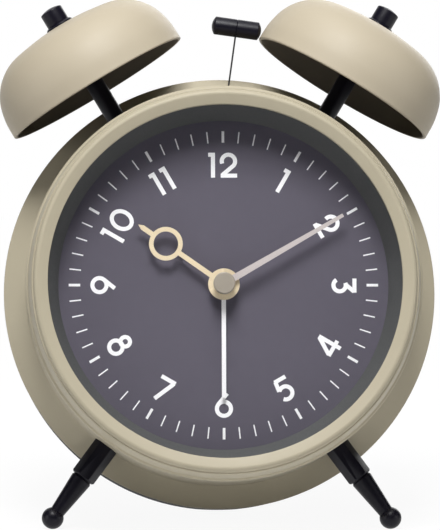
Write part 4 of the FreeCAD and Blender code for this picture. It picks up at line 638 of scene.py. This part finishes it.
# Drum: sheet metal that flares at the back and ends in a rolled bead
BEAD_STEPS = 24
FACE_MEETS_BEAD = 7  # the step at which the flare's outer face runs into the bead
rim_at = RIM_RADIUS - RIM_BEAD
flare = math.atan2(rim_at - DRUM_RADIUS, RIM_DEPTH - FLARE_START)
flare_way = Vector((math.sin(flare), math.cos(flare)))
flare_face = Vector((math.cos(flare), -math.sin(flare)))
bead_centre = Vector((rim_at, RIM_DEPTH))
bead = []
for step in range(BEAD_STEPS + 1):
    angle = math.radians(270 * step / BEAD_STEPS)
    way_out = flare_face * math.sin(angle) - flare_way * math.cos(angle)
    bead.append(bead_centre + way_out * RIM_BEAD)
inner_end = bead_centre - flare_face * SHEET
inner_bend = Vector((DRUM_RADIUS, FLARE_START)) - flare_face * SHEET
inner_bend -= flare_way * ((inner_bend.x - DRUM_RADIUS + SHEET) / flare_way.x)
outer_side = rounded([
    (DRUM_RADIUS, DRUM_FRONT), (DRUM_RADIUS, FLARE_START, FLARE_BEND),
    tuple(bead[FACE_MEETS_BEAD]),
])
inner_side = rounded([
    tuple(inner_end), (inner_bend.x, inner_bend.y, FLARE_BEND + SHEET),
    (DRUM_RADIUS - SHEET, DRUM_FRONT),
])
drum = turned(outer_side + bead[FACE_MEETS_BEAD + 1:] + inner_side)
for lug_angle in LUG_ANGLES:
    lug = block((-4, 27.0, 35.9), (4, 28.4, 44.7))
    hole = rod(1.4, 20, 30, (0, LUG_CIRCLE))
    joined(drum, moved(cut(lug, hole), Matrix.Rotation(math.radians(lug_angle), 4, "Y")))
for tilt, radius in ((BELL_TILT, BELL_BORE), (LEG_TILT, LEG_BORE)):
    for side in (1, -1):
        cut(drum, moved(pin(radius, 40, 50), stalk(side * tilt, UNPLACED)))
reach = (DRUM_RADIUS - PIVOT_HEIGHT) * math.tan(math.radians(hammer_lean)) + HAMMER_SLOT
hammer_slot = block((-reach, STALK_DEPTH - HAMMER_SLOT, PIVOT_HEIGHT),
                    (reach, STALK_DEPTH + HAMMER_SLOT, 50))
cut(drum, soften(hammer_slot, 0.85, 5))
settle(drum, "drum", DRUM, case_enamel, "clock_body", "case_paint", "case_shell")

# Cone ring between the glass and the dial
cone_ring = turned(rounded([
    (41.0, CONE_FRONT, 0.15), (CONE_FLANGE, CONE_FRONT), (CONE_FLANGE, FLANGE_BACK),
    (42.15, FLANGE_BACK), (40.0, CONE_BACK), (CONE_FOOT, CONE_BACK), (CONE_FOOT, DIAL_DEPTH),
    (38.2, DIAL_DEPTH),
]))
settle(cone_ring, "cone_ring", DRUM, charcoal_abs, "clock_body", "ring_plastic", "dial_ring")


# Minute marks: a narrow bar for the minutes and a wide one for the hours, copied round the dial
def minute_mark(width):
    half = width / 2
    corners = [(-half, MARK_INNER), (half, MARK_INNER), (half, MARK_OUTER), (-half, MARK_OUTER)]
    return plate(corners, PRINT_HEIGHT)


marks = []
between_hours = [minute for minute in range(60) if minute % 5]
for width, wanted in ((MINUTE_MARK, between_hours), (HOUR_MARK, range(0, 60, 5))):
    first = minute_mark(width)
    for minute in wanted:
        spin = Matrix.Rotation(math.radians(-6 * minute), 4, "Z")
        marks.append(moved(copy_of(first), spin))
    bpy.data.objects.remove(first)
settle(gather(marks), "minute_marks", on_dial(DIAL_DEPTH), white_ink, "clock_body", "dial_paint")

# Numerals, drawn with an even stroke. Each figure is a list of (line, closed) about its own middle.
# BAR is the height of its level strokes and END that of the ends of its upright ones
BAR = 2.43
END = 2.9
ring_of_six = ring((0, -0.8), 1.63, 32)
figures = {
    "0": [(ring((0, 0), BAR, 36, 0.8), True)],
    "1": [([(0, -END), (0, END)], False), ([(-1.1, BAR), (0, BAR)], False)],
    "2": [(arc((0, 0.9), 1.55, 200, -38, 20) + [(-1.42, -2.3)], False),
          ([(-1.8, -BAR), (2.0, -BAR)], False)],
    "3": [([(-1.55, BAR), (1.75, BAR)], False), ([(1.5, 2.3), (-0.25, 0.3)], False),
          (arc((0, -1.0), 1.43, 112, -149, 24), False)],
    "4": [([(0.75, -END), (0.75, END)], False), ([(-2.1, -1.35), (1.95, -1.35)], False),
          ([(-1.85, -1.25), (0.62, 2.7)], False)],
    "5": [([(-1.2, BAR), (1.7, BAR)], False), ([(-0.95, BAR), (-1.28, 0.05)], False),
          (arc((-0.1, -0.92), 1.52, 140, -140, 26), False)],
    "6": [(ring_of_six, True), ([(-1.3, 0.2), (0.75, 2.75)], False)],
    "7": [([(-1.9, BAR), (1.8, BAR)], False), ([(1.5, 2.3), (-0.75, -END)], False)],
    "8": [(ring((0, -0.9), 1.55, 32), True), (ring((0, 1.6), 1.1, 28), True)],
    "9": [([(-x, -y) for x, y in ring_of_six], True), ([(1.3, -0.2), (-0.75, -2.75)], False)],
}
# Each numeral is its figures with their shifts to the right
numerals = {hour: [(str(hour), 0)] for hour in range(1, 10)}
numerals[10] = [("1", -2.75), ("0", 1.35)]
numerals[11] = [("1", -1.2), ("1", 1.55)]
numerals[12] = [("1", -2.32), ("2", 1.26)]
drawn = []
for hour, parts in numerals.items():
    lines = []
    for figure, shift in parts:
        for line, closed in figures[figure]:
            shifted = [(x + shift, y) for x, y in line]
            lines.append(stroke(shifted, NUMERAL_STROKE, PRINT_HEIGHT, closed))
    numeral = joined(*lines)
    # From 4 to 8 the numerals have their tops towards the middle of the dial
    upside_down = 4 <= hour <= 8
    place = Matrix.Rotation(math.radians(-30 * hour), 4, "Z")
    place = place @ Matrix.Translation((0, NUMERAL_CIRCLE, 0))
    drawn.append(moved(numeral, place @ Matrix.Rotation(math.pi * upside_down, 4, "Z")))
settle(gather(drawn), "hour_numerals", on_dial(DIAL_DEPTH), white_ink, "clock_body", "dial_paint")


# Hands, stamped from sheet and made pointing to 12
def bar(width, start, end, tip_width=None, point=0):
    tip = (tip_width or width) / 2
    outline = [(-width / 2, start), (width / 2, start), (tip, end - point)]
    outline += [(0, end)] * bool(point) + [(-tip, end - point)]
    return plate(outline, HAND_SHEET)


def disc(radius, thick=HAND_SHEET, at=0, hole=0):
    edge = [(hole, 0), (radius, 0), (radius, thick), (hole, thick)]
    return moved(lathe(edge, 72, bool(hole)), Matrix.Translation((0, at, 0)))


def stamped(hand, hole):
    """Hand with the hole for its arbor and with its edges broken."""
    cut(hand, moved(disc(hole, 3), Matrix.Translation((0, 0, -1))))
    return soften(hand, 0.05)


eye = disc(3.9, at=16.35, hole=2.85)
tip = bar(1.15, 19.75, 24.1, point=1.15)
hour_hand = stamped(joined(disc(3.65), bar(1.15, 2, 13), eye, tip), 1.3)
minute_hand = stamped(joined(disc(2.2), bar(1.6, 0.5, 31.9, tip_width=0.8)), 0.75)
alarm_hand = stamped(joined(disc(3.0), bar(1.0, 1, 26.3)), 1.85)
settle(hour_hand, "hour_hand_painted", on_dial(**HOUR_HAND), cream_enamel, "hour_work",
       "hour_hand_paint", "hour_hand")
settle(minute_hand, "minute_hand_painted", on_dial(**MINUTE_HAND), taupe_enamel, "minute_work",
       "minute_hand_paint", "minute_hand")
settle(alarm_hand, "alarm_hand_painted", on_dial(**ALARM_HAND), white_enamel, "alarm_work",
       "alarm_hand_paint", "alarm_hand")
cap = turned(rounded([
    (0, CAP_FRONT), (CAP_RADIUS, CAP_FRONT, 0.28), (CAP_RADIUS, CAP_BACK, 0.08), (0.75, CAP_BACK),
    (0.75, 6.9), (0, 6.9),
]), 72, False)
settle(cap, "hand_cap_painted", DRUM, cap_enamel, "minute_work", "cap_metal", "hand_cap")

# Bells: one spun shell of even wall, copied
bell_line = smooth_line([
    (22.6, 0), (22.35, 4.72), (20.9, 9.45), (18.65, 12.5), (15.6, 14.75), (9.6, 16.25),
    (3.6, 16.9), (BELL_BORE, 16.95),
])
bell_outer = [place for place, lead in bell_line]
bell_inner = [place + Vector((-lead.y, lead.x)) * BELL_WALL for place, lead in bell_line]
bell_inner[-1].x = bell_outer[-1].x
bell_outline = bell_outer + list(reversed(bell_inner))
for point in bell_outline:
    point.y += BELL_RIM_AT
bell = lathe(bell_outline, 192)
soften(bell, 0.22, 3, 50)
# The faces that look towards the middle of the bell are its hollow, which gets the darker enamel of
# painted shade
middle = Vector((0, 0, BELL_RIM_AT + 2))
faces = bell.data.polygons
hollow = [face.index for face in faces if face.normal.dot(face.center - middle) < 0]
for name, tilt in (("left", -BELL_TILT), ("right", BELL_TILT)):
    twin = settle(copy_of(bell), "bell_shell_" + name, stalk(tilt), bell_enamel, "clock_body",
                  "bell_paint", "bell_" + name)
    twin.data.materials.append(bell_hollow_painted_shade)
    for index in hollow:
        twin.data.polygons[index].material_index = 1
bpy.data.objects.remove(bell)


def drum_inside():
    """Tool that trims a post or leg to the drum's round side."""
    return moved(pin(DRUM_RADIUS, -20, 20, RING_SIDES), LATHE_TO_DEPTH)


# Posts, washers and cap nuts of the bells
post_outline = rounded([
    (0, STUD_FOOT), (STUD_RADIUS, STUD_FOOT, 0.2), (STUD_RADIUS, POST_FOOT),
    (POST_RADIUS, POST_FOOT), (POST_RADIUS, POST_TOP, 0.1), (STUD_RADIUS, POST_TOP),
    (STUD_RADIUS, STUD_TOP), (0, STUD_TOP),
])
washer_outline = rounded([
    (BELL_BORE, WASHER_FOOT), (3.35, WASHER_FOOT, 0.15), (3.35, 72.6, 0.2),
    (2.95, NUT_FOOT, 0.15), (BELL_BORE, NUT_FOOT),
])
nut_outline = rounded(
    [(0, NUT_FOOT), (NUT_RADIUS, NUT_FOOT, 0.12), (NUT_RADIUS, 76.4, 0.3)]
    + [(radius, NUT_TOP - NUT_CROWN * radius**2) for radius in (2.2, 1.7, 1.2, 0.7, 0.3, 0)]
    + [(0, STUD_TOP), (STUD_RADIUS, STUD_TOP), (STUD_RADIUS, NUT_FOOT)]
)
washers = []
for name, tilt in (("left", -BELL_TILT), ("right", BELL_TILT)):
    post = cut(lathe(post_outline, 64, False), drum_inside())
    joined(post, pin(STUD_RADIUS, STUD_FOOT, 60, 64))
    settle(post, "bell_post_turned_" + name, stalk(tilt), black_enamel, "clock_body",
           "black_metal", "bell_post_" + name)
    nut = lathe(nut_outline, 64)
    settle(nut, "cap_nut_" + name, stalk(tilt), black_enamel, "clock_body", "black_metal",
           "bell_nut_" + name)
    washers.append(moved(lathe(washer_outline, 64), stalk(tilt)))
settle(gather(washers), "bell_washers_turned", UNPLACED, black_enamel, "clock_body",
       "black_metal", "bell_washers")

# Legs: a hexagon bar, a tapering shank and a ball, turned from one rod
hexagon_corner = LEG_HEXAGON / math.sqrt(3)
for name, tilt in (("left", -LEG_TILT), ("right", LEG_TILT)):
    clear()
    bpy.ops.mesh.primitive_cylinder_add(
        vertices=6, radius=hexagon_corner, depth=12.4, location=(0, 0, 48.0),
        rotation=(0, 0, math.radians(30)),
    )
    bpy.ops.object.transform_apply(location=True, rotation=True, scale=True)
    leg = soften(bpy.context.object, 0.12)
    turned_end = lathe(rounded([
        (0, 40), (4, 40), (4, 52.6), (hexagon_corner - 0.35, HEXAGON_END, 0.3), (0, HEXAGON_END),
    ]), 96, False)
    combine(leg, turned_end, "INTERSECT")
    cut(leg, drum_inside())
    shank_and_ball = [(0, 53.2), (2.3, 53.2), (2.3, 54.45), (2.52, 54.75), (1.76, 63.4)]
    shank_and_ball += reversed(arc((0, BALL_AT), BALL_RADIUS, 90, -47.6, 30))
    joined(leg, lathe(shank_and_ball, 72, False))
    cut(leg, pin(1.45, 40, 51.05))
    settle(leg, "leg_turned_" + name, stalk(tilt), black_enamel, "clock_body", "black_metal",
           "leg_" + name)

# Hammer: a turned head with a fine groove, on a wire
hammer_place = DRUM @ Matrix.Translation((0, STALK_DEPTH, PIVOT_HEIGHT))
hammer_place = hammer_place @ Matrix.Rotation(math.radians(hammer_lean), 4, "Y")
half_head = rounded([
    (2.1, 0.12), (2.1, 5.05, 0.25), (1.8, 5.26), (1.3, 5.52), (0.7, 5.72), (0, 5.8),
])
other_half = [Vector((point.x, -point.y)) for point in reversed(half_head)]
head = lathe(other_half + [Vector((2.0, 0))] + half_head, 64, False)
lying = Matrix.Rotation(math.radians(90), 4, "Y")
moved(head, Matrix.Translation((0, 0, HAMMER_REACH)) @ lying)
cut(head, pin(WIRE_RADIUS, 20, WIRE_TIP, 16))
settle(head, "hammer_head_turned", hammer_place, black_enamel, "hammer", "black_metal",
       "hammer_head")
wire = lathe(rounded([
    (0, WIRE_FOOT), (WIRE_RADIUS, WIRE_FOOT, 0.05), (WIRE_RADIUS, WIRE_TIP, 0.05), (0, WIRE_TIP),
]), 24, False)
settle(wire, "hammer_wire_drawn", hammer_place, black_wire, "hammer", "black_metal",
       "hammer_wire")


# Rear cover and what sits in it. Outlines are functions of how far they grow, and QUARTER has the
# steps of a rounded edge
QUARTER = [math.radians(step) for step in (0, 30, 60, 90)]


def rectangle(left, right, low, high, corner):
    def outline(grow):
        return rounded([
            (left - grow, low - grow, corner + grow), (right + grow, low - grow, corner + grow),
            (right + grow, high + grow, corner + grow), (left - grow, high + grow, corner + grow),
        ])
    return outline


def circle(radius, at):
    return lambda grow: ring(at, radius + grow, 48)


def knob_recess(grow):
    """D-shaped outline of the recess for the knobs: a circle with a straight lower side."""
    radius = RECESS_RADIUS + grow
    dip = math.degrees(math.asin((RECESS_BOTTOM - grow) / radius))
    side = arc((0, 0), radius, dip, 180 - dip, 66)
    return rounded([(*side[0], 0.5)] + side[1:-1] + [(*side[-1], 0.5)])


def recess(outline, bottom, edge=0.35):
    """Tool that cuts a moulded recess, with a round at its bottom and at its mouth."""
    loops = [(bottom + edge * (1 - math.cos(t)), outline(edge * (math.sin(t) - 1)))
             for t in QUARTER]
    loops += [(COVER_BACK - edge * (1 - math.sin(t)), outline(edge * (1 - math.cos(t))))
              for t in QUARTER]
    return loft(loops + [(COVER_BACK + 1, outline(edge))])


def slab(outline, front, back, edge=0.3):
    """Moulded plate whose rear edges are rounded."""
    return loft([(front, outline(0))] + [
        (back - edge * (1 - math.sin(t)), outline(edge * (math.cos(t) - 1))) for t in QUARTER
    ])


knob_places = {}
for joint in frame["joints"]:
    if joint["name"] in ("time_knob_turn", "alarm_knob_turn"):
        place = DRUM.inverted() @ Vector(joint["pos_m"])
        knob_places[joint["name"].replace("_turn", "")] = (place.x, place.z)
well_places = []
for angle in map(math.radians, LUG_ANGLES):
    well_places.append((LUG_CIRCLE * math.sin(angle), LUG_CIRCLE * math.cos(angle)))

# The cover's shell, then the walls round the knobs, the cell and the screws, and four columns that
# reach towards the movement
cover = turned(rounded([
    (0, COVER_BACK), (COVER_RADIUS, COVER_BACK, 3.0), (COVER_RADIUS, COVER_FRONT, 0.2),
    (SPIGOT_RADIUS, COVER_FRONT), (SPIGOT_RADIUS, SPIGOT_FRONT), (42.55, SPIGOT_FRONT),
    (42.55, 35.65), (47.13, 35.65), (47.13, COVER_INSIDE, 1.2), (0, COVER_INSIDE),
]), 192, False)
recess_side = knob_recess(RECESS_WALL)
recess_wall = loft([(RECESS_FLOOR - RECESS_WALL, recess_side), (WALLS_BACK, recess_side)])
bay_wall = block((-29.4, 37.75, -30.6), (29.4, WALLS_BACK, -9.4))
well_walls = gather([rod(3.9, SPIGOT_FRONT, WALLS_BACK, place) for place in well_places])
joined(cover, recess_wall, bay_wall, well_walls)
columns = []
for height, back in ((13.0, 40.7), (-22.0, 38.75)):
    columns += [rod(2.2, 29.05, back, (x, height)) for x in (-21.0, 21.0)]
joined(cover, gather(columns))

# Recess of the knobs, bay of the cell, seat of the door, wells of the screws, and the holes of
# screws, knobs and switch
cut(cover, recess(knob_recess, RECESS_FLOOR))
cut(cover, block((-26.8, 39.25, -28.0), (26.8, BEYOND, -12.0)))
cut(cover, recess(rectangle(-28.2, 28.2, -29.4, -10.6, 0.9), DOOR_SEAT, 0.25))
cut(cover, gather([recess(circle(3.0, place), 30.3, 0.3) for place in well_places]))
holes = [rod(1.45, 20, 31, place) for place in well_places]
holes += [rod(1.8, 38, 44, place) for place in knob_places.values()]
holes += [block((-3.0, 38, 23.5), (3.0, 44, 26.5))]
cut(cover, gather(holes))

# Room for the door's knuckles, pins, lower edge and tab
hinge_line = Matrix.Translation((0, HINGE_DEPTH, HINGE_HEIGHT))
hinge_line = hinge_line @ Matrix.Rotation(math.radians(-90), 4, "Z")
for middle in KNUCKLES_AT:
    cut(cover, block((middle - 3.3, DOOR_SEAT, -31.3), (middle + 3.3, BEYOND, -29.0)),
        moved(rod(0.5, middle - 4.5, middle + 4.5), hinge_line))
cut(cover, block((-28.2, DOOR_SEAT, -29.6), (28.2, BEYOND, -29.0)))
cut(cover, block((-5.3, DOOR_SEAT, -11.9), (5.3, BEYOND, -6.0)))

# The flat that the clock stands on: all that is below the table goes
below_table = moved(block((-500, -500, -500), (500, 500, 0)), DRUM.inverted() @ MILLIMETRES)
cut(cover, below_table)
settle(cover, "rear_cover_moulded", DRUM, grained_abs, "clock_body", "cover_plastic",
       "rear_cover")

# Battery door: a plate with knuckles on pins, a thumb tab and grip grooves
door = slab(rectangle(-27.9, 27.9, -29.1, -10.9, 0.6), DOOR_FRONT, COVER_BACK)
tab = slab(rectangle(-5.0, 5.0, -11.9, -8.5, 0.6), DOOR_FRONT, COVER_BACK)
joined(door, tab)
for middle in KNUCKLES_AT:
    joined(door, moved(rod(0.8, middle - 3, middle + 3), hinge_line),
           block((middle - 3, DOOR_FRONT, HINGE_HEIGHT), (middle + 3, COVER_BACK, -28.8)),
           moved(rod(0.45, middle - 4.2, middle + 4.2), hinge_line))
grooves = [block((-4.5, 55.65, -12.85 - step), (4.5, BEYOND, -12.35 - step))
           for step in (0, 1.3, 2.6, 3.9)]
cut(door, gather(grooves))
settle(door, "battery_door_moulded", DRUM, grained_abs, "door", "cover_plastic", "battery_door")

# Knobs: a fluted grip on a plain skirt, with a shallow dish on top
FLUTES = 18
FLUTE_CIRCLE = 7.245
grip = turned(rounded([
    (0, KNOB_FRONT), (KNOB_RADIUS, KNOB_FRONT, 0.2), (KNOB_RADIUS, KNOB_BACK, 0.6),
    (5.5, KNOB_BACK, 0.2), (5.2, 50.9, 0.2), (0, 50.9),
]), 144, False)
flutes = []
for number in range(FLUTES):
    angle = math.radians(360 / FLUTES * number)
    place = (FLUTE_CIRCLE * math.sin(angle), FLUTE_CIRCLE * math.cos(angle))
    flutes.append(rod(0.7, 44.5, BEYOND, place, 24))
cut(grip, gather(flutes), rod(1.5, 0, 49.3))
for name, (x, z) in knob_places.items():
    settle(copy_of(grip), name + "_fluted", DRUM @ Matrix.Translation((x, 0, z)), satin_abs,
           "time_setting" if name == "time_knob" else "alarm_setting", "knob_plastic", name)
bpy.data.objects.remove(grip)

# Alarm switch: a grooved button whose stem passes the floor of the recess to a plate that keeps
# it in
button = slab(rectangle(-3.5, 3.5, -2.2, 2.2, 0.6), 42.3, 44.3)
cut(button, gather([block((x - 0.25, 43.8, -5), (x + 0.25, 50, 5)) for x in (-1.5, 0, 1.5)]))
stem = block((-1.2, 39.4, -1.2), (1.2, 42.8, 1.2))
keeper = block((-5.5, 39.1, -2.2), (5.5, 39.9, 2.2))
joined(button, stem, keeper)
settle(button, "alarm_switch_button", DRUM @ Matrix.Translation(SWITCH_AT), grey_abs,
       "switch_button", "switch_plastic", "alarm_switch")

# Screws of the rear cover: pan heads with a cross
screw = turned(rounded([
    (0, 25.0), (1.4, 25.0, 0.3), (1.4, SCREW_SEAT), (2.7, SCREW_SEAT), (2.7, SCREW_BACK, 0.6),
    (0, SCREW_BACK),
]), 48, False)
cross = joined(block((-1.5, 31.2, -0.3), (1.5, 40, 0.3)), block((-0.3, 31.2, -1.5), (0.3, 40, 1.5)))
cut(screw, cross)
screws = [moved(copy_of(screw), Matrix.Translation((x, 0, z))) for x, z in well_places]
bpy.data.objects.remove(screw)
settle(gather(screws), "cover_screws_cross", DRUM, zinc_steel, "clock_body", "screw_steel",
       "cover_screws")


# Studio: a white floor and backdrop, a dim room and soft lamps
def shown_white(name, share):
    """White card that greys with distance. Seen directly or mirrored it is mostly its own white,
    far off it is nothing else, and its plain face lights the clock. From behind it is clear."""
    material, tree = new_material(name)
    ray = add(tree, "LightPath").outputs
    place = add(tree, "TexCoord").outputs["Object"]
    away = add(tree, "VectorMath", {0: place}, operation="LENGTH").outputs["Value"]
    far = add(tree, "MapRange", {"Value": away, "From Min": 0.14, "From Max": 0.5})
    own = add(tree, "MapRange", {"Value": far.outputs["Result"], "To Min": share, "To Max": 1.0})
    shade = add(tree, "MixRGB", {
        "Fac": far.outputs["Result"], "Color1": colour("#E6E6E6"), "Color2": colour("#6C6C6C"),
    })
    seen = add(tree, "Math", {
        0: ray["Is Camera Ray"], 1: ray["Is Glossy Ray"],
    }, operation="MAXIMUM")
    seen = add(tree, "Math", {
        0: seen.outputs[0], 1: ray["Is Transmission Ray"],
    }, operation="MAXIMUM")
    plain = add(tree, "BsdfDiffuse", {"Color": shade.outputs["Color"]})
    pale = add(tree, "BsdfDiffuse", {"Color": colour("#FFFFFF")})
    white = add(tree, "Emission", {"Color": colour("#FFFFFF"), "Strength": 1.0})
    shown = add(tree, "MixShader", {
        0: own.outputs["Result"], 1: pale.outputs["BSDF"], 2: white.outputs["Emission"],
    })
    card = add(tree, "MixShader", {
        0: seen.outputs[0], 1: plain.outputs["BSDF"], 2: shown.outputs["Shader"],
    })
    clear_back = add(tree, "BsdfTransparent")
    behind = add(tree, "NewGeometry").outputs["Backfacing"]
    one_sided = add(tree, "MixShader", {
        0: behind, 1: card.outputs["Shader"], 2: clear_back.outputs["BSDF"],
    })
    add(tree, "OutputMaterial", {"Surface": one_sided.outputs["Shader"]})
    return material


clear()
bpy.ops.mesh.primitive_plane_add(size=1.8)
floor = bpy.context.object
floor.name = "floor"
floor.data.materials.append(shown_white("studio_floor", 0.93))
clear()
bpy.ops.mesh.primitive_plane_add(
    size=1, location=(0, 0.9, 0.7), rotation=(math.radians(90), 0, 0),
)
backdrop = bpy.context.object
backdrop.name = "backdrop"
backdrop.data.transform(Matrix.Diagonal((1.6, 1.4, 1, 1)))
backdrop.data.materials.append(shown_white("studio_backdrop", 1.0))

# The room is dim where it lights the clock and white where it is seen
world = bpy.data.worlds.new("studio")
world.use_nodes = True
tree = world.node_tree
tree.nodes.clear()
ray = add(tree, "LightPath").outputs
seen = add(tree, "Math", {
    0: ray["Is Camera Ray"], 1: ray["Is Transmission Ray"],
}, operation="MAXIMUM")
room = add(tree, "Background", {"Color": colour("#FFFFFF"), "Strength": 0.03})
bright = add(tree, "Background", {"Color": colour("#FFFFFF"), "Strength": 1.0})
mixed = add(tree, "MixShader", {
    0: seen.outputs[0], 1: room.outputs["Background"], 2: bright.outputs["Background"],
})
add(tree, "OutputWorld", {"Surface": mixed.outputs["Shader"]})
bpy.context.scene.world = world

LAMPS_FACE = Vector((0, 0, 0.06))


def softbox(name, at, size, power):
    """Square area lamp that faces the middle of the clock."""
    lamp = bpy.data.lights.new(name, "AREA")
    lamp.size = size
    lamp.energy = power
    holder = bpy.data.objects.new(name, lamp)
    bpy.context.scene.collection.objects.link(holder)
    facing = (LAMPS_FACE - Vector(at)).to_track_quat("-Z", "Y").to_matrix().to_4x4()
    holder.matrix_world = Matrix.Translation(at) @ facing


softbox("key_softbox", (-0.042, -0.298, 0.602), size=0.25, power=4.7)
softbox("top_softbox", (0, -0.061, 0.757), size=0.6, power=2.3)
softbox("left_softbox", (-1.0, -0.44, 0.21), size=0.6, power=2.7)
softbox("right_softbox", (1.0, -0.44, 0.21), size=0.6, power=2.2)
softbox("back_softbox", (0.3, 0.8, 0.3), size=0.5, power=1.8)

# Camera: far off with a long lens, a little below the clock's own axis and to its left. PIXEL is
# the size in metres of one of the picture's pixels at the clock, and the camera's distance and aim
# are counted in them
LEFT = 0.044
IN_FRONT = 0.994
BELOW = 0.0986
PIXEL = 0.2303 / 1000
DISTANCE = 12000
AIM_LEFT = 5.68
AIM_UP = 15.26
ROLL = -0.004
PICTURE_HEIGHT = 530
SENSOR = 36
to_camera = -(rightward * LEFT + backward * IN_FRONT + upward * BELOW).normalized()
across = (-to_camera).cross(upward).normalized()
above = across.cross(-to_camera).normalized()
roll = Matrix.Rotation(ROLL, 3, to_camera)
across = roll @ across
above = roll @ above
aim = front_centre - across * AIM_LEFT * PIXEL + above * AIM_UP * PIXEL
camera = bpy.data.cameras.new("camera")
camera.lens = DISTANCE / PICTURE_HEIGHT * SENSOR
camera.sensor_width = SENSOR
viewer = bpy.data.objects.new("camera", camera)
bpy.context.scene.collection.objects.link(viewer)
facing = Matrix((across, above, to_camera)).transposed().to_4x4()
viewer.matrix_world = Matrix.Translation(aim + to_camera * PIXEL * DISTANCE) @ facing
bpy.context.scene.camera = viewer
bpy.context.scene.view_settings.view_transform = "Standard"

clear()
bpy.context.view_layer.update()
